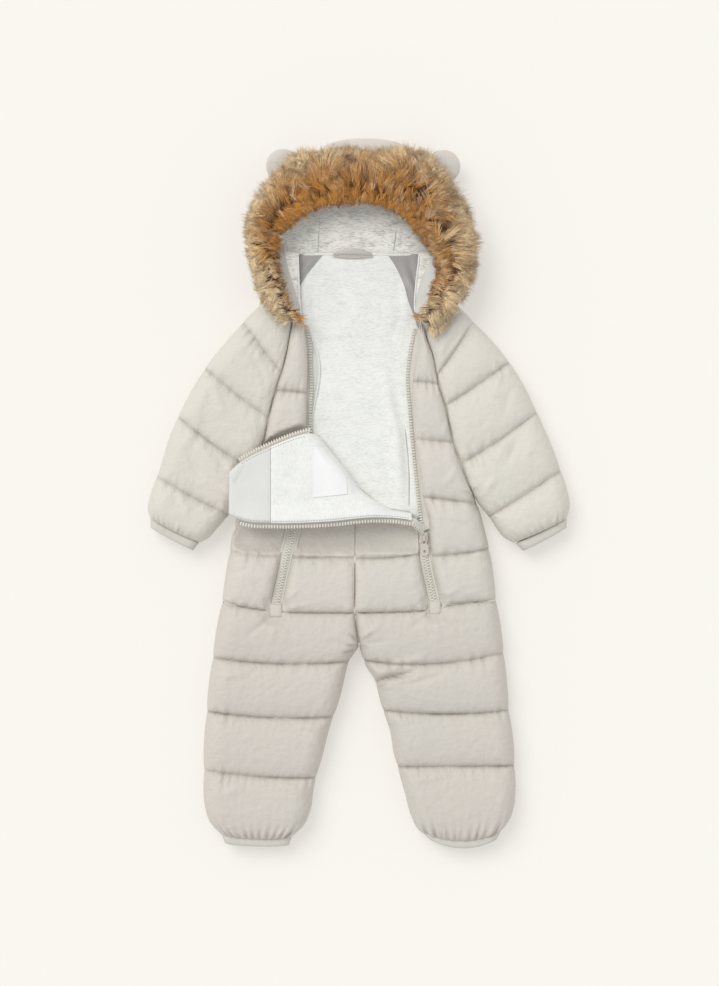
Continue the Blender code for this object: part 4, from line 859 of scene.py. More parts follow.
def sleeve_tube(name, fold, front, back, lines, sign):
    row, t, line = rows_of(lines)
    rise = rise_of(t)
    at_hem = (row == len(lines) - 2) & (t > 0.5)
    crown = mix(np.where(at_hem, HEM_HIGH, SEWN), CROWN, rise)
    x_fold = edge_x(fold, line["fold"]) + sign * (0.4 - 0.5 * SCALLOP * (rise - 0.6))
    x_front = edge_x(front, line["front"]) + sign * -SEAM_GAP
    x_back = edge_x(back, line["back"]) + sign * -0.6
    sewn_on = line["front"] > 3
    x_front = np.where(sewn_on, x_front, x_front - sign * SIDE_INSET)
    x_back = np.where(line["back"] > 3, x_back, x_back - sign * SIDE_INSET)
    wide = np.hypot(x_front - x_fold, line["front"] - line["fold"])
    columns = int(np.percentile(wide, 80) / FINE)
    over, under = shares(columns, 0.5), shares(16, 0.7)[::-1]
    x = np.concatenate([mix(x_fold[:, None], x_front[:, None], over[None, :]),
                        mix(x_fold[:, None], x_back[:, None], under[None, :])], axis=1)
    y = np.concatenate([sagging(line, over, "fold", "front"),
                        sagging(line, under, "fold", "back", "back_sag")], axis=1)
    edge = np.where(sewn_on, SEAM_HIGH, OUTLINE_HIGH)[:, None]
    high = np.minimum(wall(over[None, :] * wide[:, None], 0.0, crown[:, None], EDGE_SOFT),
                      wall((1 - over[None, :]) * wide[:, None], edge, crown[:, None], EDGE_SOFT))
    folds = at_an_elastic(row, t, over, len(name))
    shade_and_nearness = sewn_line_shade_and_nearness(row, t, columns, LINE_SHADE["sleeve"], SLEEVE_ROW_HIGH)
    # painted shade in the creases of the gathers by the cuff
    shade_and_nearness[..., 0] += np.clip(-0.8 * folds, 0, 1)
    detail = np.clip((high - 3) / 7, 0, 1) * (
        puckers(row, t, over, wide, len(name) + 40, SLEEVE_ROW_HIGH)
        + FOLD_STRENGTH * creased(x[:, :columns], y[:, :columns], SHELL_CREASES, 0.2)
        + HEM_DEPTH * folds)
    back_wide = np.hypot(x_back - x_fold, line["back"] - line["fold"])
    low = lifted(under[None, :] * back_wide[:, None], 14.0, 0.0)
    low_in = lifted((1 - under[None, :]) * back_wide[:, None], 9.0, 1.0)
    low = np.maximum(low, np.where(sewn_on[:, None], 0.0, low_in))
    low = np.maximum(low, groove(t, 55.0)[:, None])
    points = points_at(x, y, np.concatenate([Z_FRONT + high - 0.8 * (over < 0.02)[None, :],
                                             np.minimum(low, Z_BACK)], axis=1))
    sewn = np.zeros(points.shape[:2], bool)
    sewn[:, columns - 1:columns + 2] = True
    sewn[t == 0] = sewn[t == 1] = True
    fuller = np.zeros(points.shape[:2])
    fuller += (sewn_fullness(t, 55.0) + np.where(row == len(lines) - 2, t, 0.0) ** 6)[:, None]
    fuller[:, columns:] = 0.0
    QUILTED[name] = ended(dict(points=points, sewn=sewn, fuller=fuller, top=columns,
                               detail=detail, line=shade_and_nearness))


for side, other, sign in (("left", "right", 1), ("right", "left", -1)):
    back_tube(f"shell_back_{side}",
              {side: BACK_RAGLAN[side] + SIDE[side][1:], other: INNER[side]}, BACK_LINES[side],
              lambda at, y: y < UNDERARM_Y if at == side else y < CROTCH_Y - 4)
    sleeve_tube(f"shell_sleeve_{side}", SLEEVE_FOLD[side], RAGLAN[side] + UNDERARM[side][1:],
                BACK_RAGLAN[side] + UNDERARM[side][1:], SLEEVE_LINES[side], sign)
print("points in all quilted pieces:", sum(p["points"].shape[0] * p["points"].shape[1]
                                            for p in QUILTED.values()))

# %% [markdown]
# Now the padding swells. All the quilted pieces are one cloth for a moment: the sewn lines are
# pinned where the CAD has them, the cloth between them is a little longer than the line it was
# sewn to, and air pressure fills it. That gives every row the soft uneven roundness of real
# padding, which a formula for its section would not.

# %% swelling
SIM_SCALE = 0.01      # the cloth is simulated at one unit for 100 mm, where the solver is at ease
SWELL = {"frames": 22, "pressure": 3.0, "fuller": 0.012, "gathered": 0.30, "bending": 0.02}


def faces_of(rings, columns, start=0):
    i, j = np.meshgrid(np.arange(rings - 1), np.arange(columns), indexing="ij")
    k = (j + 1) % columns
    quads = np.stack([i * columns + j, i * columns + k, (i + 1) * columns + k,
                      (i + 1) * columns + j], axis=2)
    return quads.reshape(-1, 4) + start


def swell(pieces):
    """The same pieces, puffed up by Blender's cloth between their sewn lines."""
    starts, points, faces = {}, [], []
    at = 0
    for name, piece in pieces.items():
        starts[name] = at
        shape = piece["points"].shape
        loose = rng.normal(0.0, 0.22, shape) * ~piece["sewn"][:, :, None]
        points.append((piece["points"] + loose).reshape(-1, 3))
        faces.append(faces_of(shape[0], shape[1], at)[:, ::piece["turn"]])
        at += shape[0] * shape[1]
    points, faces = np.concatenate(points) * SIM_SCALE, np.concatenate(faces)
    sewn = np.concatenate([p["sewn"].ravel() for p in pieces.values()])
    fuller = np.concatenate([p["fuller"].ravel() for p in pieces.values()])
    mesh = bpy.data.meshes.new("swelling")
    mesh.from_pydata(points.tolist(), [], faces.tolist())
    cloth_object = bpy.data.objects.new("swelling", mesh)
    scene.collection.objects.link(cloth_object)
    pins = cloth_object.vertex_groups.new(name="sewn")
    pins.add(np.flatnonzero(sewn).tolist(), 1.0, "REPLACE")
    full = cloth_object.vertex_groups.new(name="fuller")
    for level in range(1, 11):
        found = np.flatnonzero(np.round(fuller * 10) == level)
        if len(found):
            full.add(found.tolist(), level / 10, "REPLACE")
    cloth = cloth_object.modifiers.new("cloth", "CLOTH")
    cloth.settings.quality = 4
    cloth.settings.mass = 0.12
    cloth.settings.air_damping = 2.0
    cloth.settings.tension_stiffness = cloth.settings.compression_stiffness = 18
    cloth.settings.shear_stiffness = 6
    cloth.settings.bending_stiffness = SWELL["bending"]
    cloth.settings.vertex_group_mass = "sewn"
    cloth.settings.vertex_group_shrink = "fuller"
    cloth.settings.shrink_min = -SWELL["fuller"]
    cloth.settings.shrink_max = -SWELL["gathered"]
    cloth.settings.use_pressure = True
    cloth.settings.uniform_pressure_force = SWELL["pressure"]
    cloth.settings.effector_weights.gravity = 0.25
    cloth.collision_settings.use_collision = False
    scene.gravity = (0.0, -9.81, 0.0)
    cloth.point_cache.frame_start, cloth.point_cache.frame_end = 1, SWELL["frames"]
    for number in range(1, SWELL["frames"] + 1):
        scene.frame_set(number)
    shown = cloth_object.evaluated_get(bpy.context.evaluated_depsgraph_get())
    moved = np.empty(len(points) * 3, np.float32)
    shown.data.vertices.foreach_get("co", moved)
    moved = moved.reshape(-1, 3) / SIM_SCALE
    bpy.data.objects.remove(cloth_object)
    for name, piece in pieces.items():
        shape = piece["points"].shape
        count = shape[0] * shape[1]
        piece["points"] = moved[starts[name]:starts[name] + count].reshape(shape)
    scene.frame_set(1)


def outward(points):
    """1 if the tube's faces already look outwards, -1 if they have to be turned."""
    corners = points.reshape(-1, 3)[faces_of(*points.shape[:2])]
    a, b, c, d = (corners[:, k] for k in range(4))
    inside = (a * np.cross(b, c)).sum() + (a * np.cross(c, d)).sum()
    return 1 if inside > 0 else -1


before = {name: piece["points"].copy() for name, piece in QUILTED.items()}
for piece in QUILTED.values():
    piece["turn"] = outward(piece["points"])
swell(QUILTED)
print("swelling moved the cloth at most", round(max(
    float(np.abs(QUILTED[name]["points"] - before[name]).max()) for name in QUILTED), 1), "mm")

# %% [markdown]
# The swelled points become meshes. The puckers and folds are added to each upper side, and
# the painted shade of the sewn lines, tight folds and gathers goes along as a colour, with how
# near a point is to a sewn line, for the finish. A quilted piece may not sink into the surface
# it lies on, so its underside is set down flat. One level of subdivision rounds the fronts and
# sleeves.

# %% quilted meshes


def make_mesh(name, points, faces, finish, smooth_angle=60.0):
    """A mesh piece from points in mm, riding on the suit."""
    mesh = bpy.data.meshes.new(name)
    mesh.from_pydata((np.asarray(points, float) * MM).tolist(), [],
                     [list(map(int, face)) for face in faces])
    mesh.update()
    mesh.materials.append(FINISHES[finish].material)
    mesh.shade_smooth()
    if smooth_angle:
        mesh.set_sharp_from_angle(angle=math.radians(smooth_angle))
    piece = bpy.data.objects.new(name, mesh)
    scene.collection.objects.link(piece)
    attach(piece, "suit")
    return piece


def tube_mesh(name, rings, finish, turn=None, cap=None):
    """A closed mesh through rings (rings, columns, 3), with a cap on each end."""
    rings = np.asarray(rings, float)
    count, columns = rings.shape[:2]
    turn = turn or outward(rings)
    faces = [list(q[::turn]) for q in faces_of(count, columns)]
    last = (count - 1) * columns
    caps = [part for ring in cap or [list(range(columns))]
            for part in (ring[::-turn], [last + j for j in ring][::turn])]
    return make_mesh(name, rings.reshape(-1, 3), faces + caps, finish)


def padded(piece, replaces):
    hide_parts(replaces)
    return piece


def subdivide(piece, levels=1):
    """Round the mesh with Catmull-Clark, and keep the result."""
    modifier = piece.modifiers.new("round", "SUBSURF")
    modifier.levels = modifier.render_levels = levels
    modifier.boundary_smooth = "PRESERVE_CORNERS"
    shown = piece.evaluated_get(bpy.context.evaluated_depsgraph_get())
    mesh = bpy.data.meshes.new_from_object(shown)
    piece.modifiers.clear()
    old, piece.data = piece.data, mesh
    bpy.data.meshes.remove(old)
    mesh.name = piece.name
    mesh.shade_smooth()
    return piece


for name, piece in QUILTED.items():
    points = piece["points"].copy()
    # red: painted shade on the sewn lines, in tight folds and gathers; green: how near a sewn line
    line = np.zeros((*points.shape[:2], 4), np.float32)
    if "detail" in piece:
        points[:, :piece["top"], 2] += piece["detail"]
        line[:, :piece["top"], :2] = piece["line"]
    points[:, :, 2] = np.maximum(points[:, :, 2], 0.0)
    # the sleeves take the copy of the shell painted lighter, the legs the copy painted darker
    cloth = {"sleeve": "quilted_sleeve_lit", "leg": "quilted_leg"}.get(name.split("_")[1], "quilted")
    made = tube_mesh(name, points, cloth, piece["turn"], piece.get("cap"))
    layer = made.data.color_attributes.new("sewn", "FLOAT_COLOR", "POINT")
    layer.data.foreach_set("color", line.ravel())
    if "detail" in piece:
        subdivide(made)
    padded(made, name.replace("shell_leg", "leg_front").replace("shell_", ""))

# %% [markdown]
# Linings, facings and the label are single cloths, about 1 mm thick. Each is a grid of points
# over the area it covers, moved by the folds that the photograph shows, and given its thickness
# along its normals. The flat cut of a cloth is measured on its grid.

# %% thin cloths


def drape(x, y, seed, high, size):
    """Uneven soft waves: a few sines in random directions, about `size` mm from crest to crest."""
    local = np.random.default_rng(seed)
    total = 0.0
    for _ in range(6):
        turn, phase = local.uniform(0, 2 * math.pi, 2)
        step = 2 * math.pi / (size * local.uniform(0.7, 1.8))
        bend = 0.6 * np.sin((x * math.sin(turn) - y * math.cos(turn)) * step * 0.4 + phase)
        total = total + np.sin((x * math.cos(turn) + y * math.sin(turn)) * step + phase + bend)
    return high * total / 6 * 1.6


def grid_normals(grid):
    down, across = np.gradient(grid, axis=0), np.gradient(grid, axis=1)
    normal = np.cross(down, across)
    normal /= np.linalg.norm(normal, axis=2, keepdims=True) + 1e-9
    return normal if normal[..., 2].sum() > 0 else -normal


def slab(name, top, thick, finish, replaces=None):
    """A closed cloth whose upper face is the grid `top` (rows, columns, 3)."""
    under = (top - thick * grid_normals(top))[:, ::-1]
    piece = tube_mesh(name, np.concatenate([top, under], axis=1), finish)
    if replaces:
        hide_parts(replaces)
    return piece


def cut_of(grid):
    """Width, length (metres) and area (square metres) of the flat cut of a grid in mm."""
    diagonals = np.cross(grid[1:, 1:] - grid[:-1, :-1], grid[1:, :-1] - grid[:-1, 1:])
    width = np.linalg.norm(np.diff(grid, axis=1), axis=2).sum(axis=1).max() * MM
    length = np.linalg.norm(np.diff(grid, axis=0), axis=2).sum(axis=0).max() * MM
    area = 0.5 * np.linalg.norm(diagonals, axis=2).sum() * MM**2
    return width, length, min(area, width * length)


SHEETS = {}


def sheet(piece, grid):
    """Marks a piece as a sheet of cloth, with its flat size."""
    width, length, area = cut_of(grid)
    SHEETS[piece.name] = [round(v * 1000) for v in (width, length)], round(area * 1e4, 1)
    return piece


def between(left, right, y, columns):
    """A level grid between two edge curves x at y."""
    s = np.linspace(0, 1, columns)
    x = mix(edge_x(left, y)[:, None], edge_x(right, y)[:, None], s[None, :])
    return points_at(x, y[:, None], 0.0)


print("a flat strip, 10 by 30 mm, has the cut", cut_of(between(
    ((0, 0), (0, 30)), ((10, 0), (10, 30)), np.linspace(30, 0, 9), 5)))

# %% [markdown]
# The elastic bindings at cuffs and hems are narrow ribbed bands. Each is a short open tube,
# pressed flat: its rings run over the front and back underneath, out to the lip and a few
# millimetres back inside, so that the opening shows from the side. The ribs of gathered
# elastic are a ripple along each ring.

# %% cuff and hem bindings
CUFF_FROM, CUFF_TO = -25.6, -37.0      # the binding's two edges, y at the sleeve's fold
CUFF_INNER = {"left": ((-176.0, -53.5), (-183.5, -62.5)),
              "right": ((171.0, -54.0), (180.5, -63.0))}
HEM_OVERLAP, HEM_REACH = 2.6, 8.2      # how far it reaches above and below the last sewn line
MID_WALL = 0.5 * (Z_BACK + Z_FRONT)    # where the front and the back layer meet
BAND_SECTION = ((0.0, 7.0), (0.14, 9.0), (0.30, 9.8), (0.60, 10.0), (0.84, 9.4), (0.97, 8.0),
                (1.0, 6.8), (0.92, 5.8), (0.55, 5.6))    # share across it, half its thickness
INSIDE_FROM = 7                        # the first row of the section that is inside the mouth


def band(name, start, end, seed, columns=44):
    """A pressed-flat ribbed tube. start and end are its edge lines: (left, right, sag)."""
    local = np.random.default_rng(seed)
    over = shares(columns, 0.25)
    under = over[::-1][1:-1]
    ripple = 0.32 * np.sin(np.arange(columns) * math.pi + local.uniform(-0.5, 0.5, columns))
    ripple += drape(over * 80, over * 0, seed, 0.35, 14.0)
    rings = []
    for at, high in BAND_SECTION:
        inner = len(rings) >= INSIDE_FROM
        (xl, yl), (xr, yr) = (mix(np.array(start[k]), np.array(end[k]), at) for k in (0, 1))
        sag = mix(start[2], end[2], at)
        ring = []
        for s_row, sign, ripples in ((over, 1, ripple), (under, -1, ripple[::-1][1:-1])):
            wide = math.hypot(xr - xl, yr - yl)
            edge = wall(np.minimum(s_row, 1 - s_row) * wide, 0.3 if inner else 0.5, high, 11.0)
            edge = edge + ripples * np.clip(edge / high, 0, 1) * (0.4 if inner else 1.0)
            squeeze = 2.2 / wide if inner else 0.0
            s = mix(s_row, 0.5, squeeze)
            x, y = mix(xl, xr, s), mix(yl, yr, s) - sag * 4 * s * (1 - s)
            ring.append(points_at(x, y, MID_WALL + sign * np.maximum(edge, 0.1)))
        rings.append(np.concatenate(ring))
    piece = subdivide(tube_mesh(name, rings, "binding"))
    padded(piece, name.replace("elastic", "binding"))


for side, sign in (("left", 1), ("right", -1)):
    lines = [((edge_x(SLEEVE_FOLD[side], y) + sign * inset, y), inner, 1.0) for y, inset, inner
             in zip((CUFF_FROM, CUFF_TO), (0.6, 1.0), CUFF_INNER[side])]
    band(f"cuff_elastic_{side}", *lines, seed=4 + sign)
    last = LEG_LINES[side][-1]
    lines = []
    left, right = (SIDE, INNER) if side == "left" else (INNER, SIDE)
    for drop in (-HEM_OVERLAP, HEM_REACH):
        yl, yr = last["left"] - drop, last["right"] - drop
        lines.append(((edge_x(left[side], yl) + 0.4, yl), (edge_x(right[side], yr) - 0.4, yr),
                      last["sag"]))
    band(f"hem_elastic_{side}", *lines, seed=8 + sign)

# %% [markdown]
# The lining of the back is jersey, lying loose over the padding between the two zips, and it
# dips and rises a little. The sleeves are lined with grey satin, of which two corners show at
# the neck. On the left a facing with a pale rolled edge lies beside the zip, and on the right
# the jersey of the side front lies over the lining in a long narrow strip.

# %% linings of the body
LINING = {"left": ((-40, 264), (-64, 232), (-70, 213), (-72, 180), (-72, 0), (-72, -45)),
          "right": ((31, 264), (39, 252), (48, 233), (54, 212), (62, 190), (68, 165), (71, 120),
                    (73, 0), (74, -45))}
GUARD = ((-57, 186), (-54.6, 178), (-47, 157), (-44, 140), (-45, 123), (-50, 98), (-54, 78))
STRIP_EDGE = ((47, 192), (38, 178), (35, 164), (38.4, 133), (46, 92), (51.4, 67), (54.5, 35),
              (56, 0), (57, -30))
LINING_CREASES = (
    (-46, 175, -20, 60, 7.0, 1.5), (-40, 150, -33, 95, 4.0, -0.9), (-44, 138, -22, 133, 1.6, 0.8),
    (-46, 128, -26, 124, 1.5, 0.7), (-48, 116, -24, 116, 1.7, 0.9),
    (-50, 104, -30, 101, 1.5, 0.6), (-52, 92, -34, 88, 1.6, 0.7), (-38, 84, -22, 60, 4.0, -0.7),
    (30, 240, 44, 150, 5.0, 1.0), (20, 90, 50, 20, 6.0, 1.1), (8, 70, 44, 6, 5.0, -0.8),
    (-10, 240, 2, 150, 9.0, 0.8), (36, 128, 22, 122, 1.6, 0.6), (41, 108, 26, 100, 1.6, 0.6),
    (0, 40, 34, -4, 4.0, 0.9), (-60, 225, -44, 190, 4.0, -0.6), (33, 60, 52, 52, 2.0, 0.6))


def body_linings():
    y = np.linspace(263.7, -44, 108)
    grid = between(LINING["left"], LINING["right"], y, 52)
    x, yy = grid[..., 0], grid[..., 1]
    low = np.where(yy > 186, -64.0, edge_x(GUARD, np.clip(yy, 78, 186)))
    high = np.where(yy > 192, 62.0, edge_x(STRIP_EDGE, np.clip(yy, -30, 192)))
    loose = smoothstep(np.minimum(x - low, high - x), 0.0, 12.0) * smoothstep(263.7 - yy, 0, 14)
    raised = 1.3 + drape(x, yy, 11, 1.1, 62.0) + drape(x, yy, 12, 0.22, 17.0)
    raised = raised + creased(x, yy, LINING_CREASES, 0.3)
    by_strip = smoothstep(yy, -20, 20) * smoothstep(150 - yy, 0, 50)
    raised = raised + 3.4 * np.exp(-((high - x - 9) / 8) ** 2) * by_strip
    shoulder = smoothstep(yy, 176, 196) * smoothstep(240 - yy, 0, 14) * np.maximum(
        smoothstep(-x, 50, 60), smoothstep(x, 42, 52))
    grid[..., 2] = 16.3 + loose * np.maximum(raised, 0.0) + 2.8 * shoulder
    sheet(slab("back_jersey", grid, 1.0, "jersey", "back_lining"), grid)
    for side, left, right, rows in (
            ("left", ((-70, 266), (-70, 200)), LINING["left"], np.linspace(264.4, 208, 22)),
            ("right", LINING["right"], ((69, 266), (69, 230), (70, 182)),
             np.linspace(264.4, 184, 30))):
        grid = between(left, right, rows, 14)
        x, yy = grid[..., 0], grid[..., 1]
        folds = {"left": ((-66, 252, -52, 244, 2.2, -1.0), (-67, 240, -50, 258, 2.0, 0.9)),
                 "right": ((46, 258, 62, 214, 3.0, 1.0), (54, 262, 64, 222, 2.0, -1.1),
                           (60, 262, 65, 232, 1.6, 0.8))}[side]
        grid[..., 2] = 16.8 + drape(x, yy, 21, 0.4, 18.0) + creased(x, yy, folds)
        grid[..., 2] += 3.0 * smoothstep(240 - yy, 0, 14)
        sheet(slab(f"sleeve_satin_{side}", grid, 1.0, "sleeve_lining", f"sleeve_lining_{side}"),
              grid)


def narrow(name, left, right, rows, z, finish, seed, replaces=None, roll=0.0):
    """A long narrow strip that lies beside a zip, with its free edge rolled down."""
    grid = between(left, right, rows, 9)
    s = np.linspace(0, 1, 9)
    grid[..., 2] = z + drape(grid[..., 0], grid[..., 1], seed, 0.25, 22.0)
    grid[..., 2] += roll * np.sin(np.pi * s) ** 0.7
    return slab(name, grid, 1.0, finish, replaces), grid


body_linings()
guard, guard_grid = narrow("zip_facing_left", shifted(FRONT_EDGE["left"], -1.5), GUARD,
                           np.linspace(184, 79, 44), 17.6, "facing", 31, "zip_guard_left")
sheet(guard, guard_grid)
strip, strip_grid = narrow("side_jersey_right", STRIP_EDGE, shifted(FRONT_EDGE["right"], 3.0),
                           np.linspace(186, -30, 72), 17.5, "jersey", 33, roll=0.5)
sheet(strip, strip_grid)
print("cut sizes (mm) and areas (cm2):", SHEETS)

# %% [markdown]
# A rolled or bound edge is a thin soft welt along a curve. Its path is put on the cloth that it
# finishes, and its section is a small circle, pressed a little flat.

# %% welts and stitches


def along(path, spacing):
    """Points every `spacing` mm along a path of 3-D points."""
    path = np.asarray(path, float)
    steps = np.linalg.norm(np.diff(path, axis=0), axis=1)
    at = np.concatenate([[0], np.cumsum(steps)])
    count = max(2, int(round(at[-1] / spacing)) + 1)
    want = np.linspace(0, at[-1], count)
    return np.stack([np.interp(want, at, path[:, k]) for k in range(3)], axis=1)


def frames(path):
    """Unit vectors along a path and across it, level with the surface."""
    forward = np.gradient(path, axis=0)
    forward /= np.linalg.norm(forward, axis=1, keepdims=True) + 1e-9
    across = np.cross(forward, (0, 0, 1.0))
    across /= np.linalg.norm(across, axis=1, keepdims=True) + 1e-9
    return forward, across, np.cross(across, forward)


def welt(name, path, radius, finish, flat=0.8):
    """A thin roll of cloth along a path, with pointed ends."""
    path = along(path, 2.0)
    _, across, up = frames(path)
    angles = np.linspace(0, 2 * math.pi, 9)[:-1]
    ends = np.clip(np.minimum(np.arange(len(path)), np.arange(len(path))[::-1]) / 1.5, 0.35, 1)
    rings = (path[:, None, :] + radius * ends[:, None, None] * (
        across[:, None, :] * np.cos(angles)[None, :, None]
        + flat * up[:, None, :] * np.sin(angles)[None, :, None]))
    tube_mesh(name, rings, finish)


def stitches(name, path, pitch=3.2, long=2.1, radius=0.26, finish="thread"):
    """A row of sewn stitches: small rounded bars, each dipping into the cloth at its ends."""
    points = along(path, pitch)
    forward, across, up = frames(points)
    shape = [(-0.5, 0.35, -0.25), (-0.25, 1.0, 0.12), (0.25, 1.0, 0.12), (0.5, 0.35, -0.25)]
    angles = np.linspace(0, 2 * math.pi, 6)[:-1]
    verts, faces = [], []
    for p, f, a, u in zip(points[:-1], forward, across, up):
        start = len(verts)
        for at, size, lift in shape:
            centre = p + f * (at * long) + u * lift
            verts += [centre + radius * size * (a * math.cos(t) + u * math.sin(t)) for t in angles]
        faces += (faces_of(len(shape), 5, start)).tolist()
        faces += [list(range(start, start + 5))[::-1], list(range(start + 15, start + 20))]
    make_mesh(name, verts, faces, finish)


def curve_path(curve, rows, z, dx=0.0):
    """The path along a curve x at y, at the height z."""
    return points_at(edge_x(curve, rows) + dx, rows, z)


def sewn_seams():
    """A thin fold of shell cloth down in each seam between two quilted pieces."""
    for side in ("left", "right"):
        for name, curve, y_from, y_to, z in (
                ("raglan", RAGLAN[side], 184 if side == "left" else 176, 6, 24.4),
                ("centre", INNER[side], -34, -131, 28.2),
                ("crotch", INNER[side], -131, -164, 24.2)):
            if name == "raglan" or side == "left":
                path = curve_path(curve, np.linspace(y_from, y_to, 70), z)
                if name == "centre":
                    path[:, 2] = Z_FRONT - 3.4 + pressed(path[:, 0], path[:, 1], np.full(70, 15.0))
                welt(f"seam_{name}_{side}", path, 2.2, "shell", 0.8)
        spans = ((-149, -98.5), (-85, -3)) if side == "left" else ((-7, 76.5), (88.5, 149))
        for k, span in enumerate(spans):
            x = np.linspace(*span, 30)
            path = points_at(x, edge_y(HIP[side], x) + 0.1, 25.4)
            welt(f"seam_hip_{side}_{k}", path, 2.2, "shell", 0.8)


welt("zip_facing_edge", curve_path(GUARD, np.linspace(184, 80, 60), 17.9), 0.85, "jersey")
stitches("zip_facing_stitches", curve_path(GUARD, np.linspace(182, 82, 60), 17.9, -2.6),
         finish="pale_thread")
sewn_seams()
print("welts and stitches ready")

# %% [markdown]
# The opened centre front lies folded down over the left side. What shows is its inside: a
# facing at the neck edge, then jersey. It is a flat pad, thin along the zips and rolled over
# at the diagonal fold, where the cloth goes down to the lining of the back. One height field
# gives the pad, both cloths, the turned corner and the label, so they lie on each other.

# %% folded front
Z_FLAP, Z_FLAP_TOP = 40.9, 50.2
FLAP_CREASES = (
    (-56, 54, -40, 53, 1.6, 0.9), (-60, 50, -54, 20, 2.2, -0.5), (-96, 30, -60, -10, 9.0, 0.8),
    (-40, 40, -8, 2, 6.0, 1.0), (-30, -4, 30, -14, 5.0, 0.9), (-12, -14, 24, -20, 2.2, -0.6),
    (-90, 46, -70, 20, 4.0, -0.7), (-128, 10, -104, -18, 6.0, 0.7),
    (-120, 34, -104, 10, 3.0, -0.6), (0, 2, 34, -18, 3.0, 0.8))


def flap_edges(x):
    """The folded front's upper and lower edge, and the cosine of the upper edge's slope."""
    keys = np.linspace(-144, 61, 400)
    slope = np.gradient(edge_y(FLAP_TOP, keys), 205 / 399)
    cosine = 1 / np.sqrt(1 + np.interp(x, keys, slope) ** 2)
    return edge_y(FLAP_TOP, x), edge_y(FLAP_BOTTOM, x), cosine


def rolled(distance, reach, drop):
    """How far a rolled edge has dropped, at a distance from the very edge."""
    f = 1 - np.clip(distance / reach, 0, 1)
    return drop * (1 - np.sqrt(np.clip(1 - f * f, 0, 1)))


def edge_lift(x, y):
    """The zip along the lower edge is stiff and holds that edge up."""
    return 5.0 * smoothstep(26 - (y - edge_y(FLAP_BOTTOM, x)), 0, 24) * smoothstep(
        x, -140, -116) * smoothstep(40 - x, 0, 36)


def flap_height(x, y):
    """Height of the folded front's upper face, jersey and all."""
    top, low, cosine = flap_edges(x)
    folded = smoothstep(x, -62, -50)
    z = Z_FLAP_TOP + drape(x, y, 41, 0.5, 48.0) + creased(x, y, FLAP_CREASES, 0.2)
    z = z - rolled((top - y) * cosine, mix(6.0, 15.0, folded), mix(3.6, 15.0, folded))
    z = z - rolled(y - low, 6.0, 3.6) - rolled(x + 143, 5.0, 3.0)
    z = z - 4.5 * smoothstep(x, 38, 60) + edge_lift(x, y)
    return z - 0.7 * np.exp(-((x + 97) / 1.3) ** 2)


def flap_grid(x_from, x_to, steps, inset, columns=34, wall_to=None, fold_inset=0.0):
    """A grid over the folded front, and on down over its fold if wall_to is a height."""
    x = np.linspace(x_from, x_to, steps)
    top, low, _ = flap_edges(x)
    top, low = top - inset - fold_inset * smoothstep(x, -60, -48), low + inset
    s = shares(columns, 0.5)
    grid_y = mix(low[:, None], top[:, None], s[None, :])
    grid_x = np.broadcast_to(x[:, None], grid_y.shape)
    grid = points_at(grid_x, grid_y, flap_height(grid_x, grid_y))
    if wall_to is None:
        return grid
    edge = grid[:, -1]
    folded = smoothstep(edge[:, 0], -58, -48)
    extra = []
    for t, out in ((0.12, 0.5), (0.35, 0.9), (0.7, 1.2), (1.0, 1.2)):
        point = edge.copy()
        drop = mix(0.5, edge[:, 2] - wall_to, folded)
        point[:, 2] -= t * drop
        point[:, 1] += out * folded
        point[:, 0] += out * folded * 0.8
        extra.append(point)
    return np.concatenate([grid, np.stack(extra, axis=1)], axis=1)


def make_flap():
    grid = flap_grid(-143, 56, 80, 1.0, fold_inset=9.0)
    grid[..., 2] -= 1.3
    low = grid[:, ::-1].copy()
    x, y = low[..., 0], low[..., 1]
    inside = smoothstep(y - edge_y(FLAP_BOTTOM, x), 3.0, 20.0) * smoothstep(x, -104, -84)
    low[..., 2] = np.minimum(mix(Z_FLAP + edge_lift(x, y), 30.0, inside), low[..., 2] - 2.0)
    pad = tube_mesh("folded_pad", np.concatenate([grid, low], axis=1), "shell")
    padded(pad, "folded_front")
    facing = flap_grid(-142, -97.2, 18, 2.2)
    sheet(slab("neck_facing", facing, 1.1, "facing", "folded_front_facing"), facing)
    jersey = flap_grid(-96.8, 57, 62, 1.6, wall_to=19.0)
    sheet(slab("folded_jersey", jersey, 1.1, "jersey_folded", "folded_front_lining"), jersey)


def on_flap(points, lift):
    """Points x, y laid on the folded front, lift above it."""
    x, y = np.moveaxis(np.asarray(points, float), -1, 0)
    return points_at(x, y, flap_height(x, y) + lift)


make_flap()
welt("zip_end_by_corner", ((-135.5, -33, 37), (-136.5, -39, 34), (-139.5, -46, 28)), 1.8, "tape")
print("folded front:", SHEETS["neck_facing"], SHEETS["folded_jersey"])

# %% [markdown]
# On the folded front lie a corner of the facing, turned over, and a plain white label. Rows of
# stitches hold them, and two more rows run along the zips. Every stitch is a small bar of its
# own: at this size a row of them catches the light as thread does, and a painted line doesn't.

# %% turned corner, label and topstitching
CORNER = np.array(((-141.0, 25.0), (-137.0, 12.0), (-126.0, 32.5)))
LABEL_LEFT = ((-52.5, 52), (-52, -4))
LABEL_RIGHT = ((-39, 50), (-33, 41), (-21, 27), (-14.6, 17), (-13.5, 0))


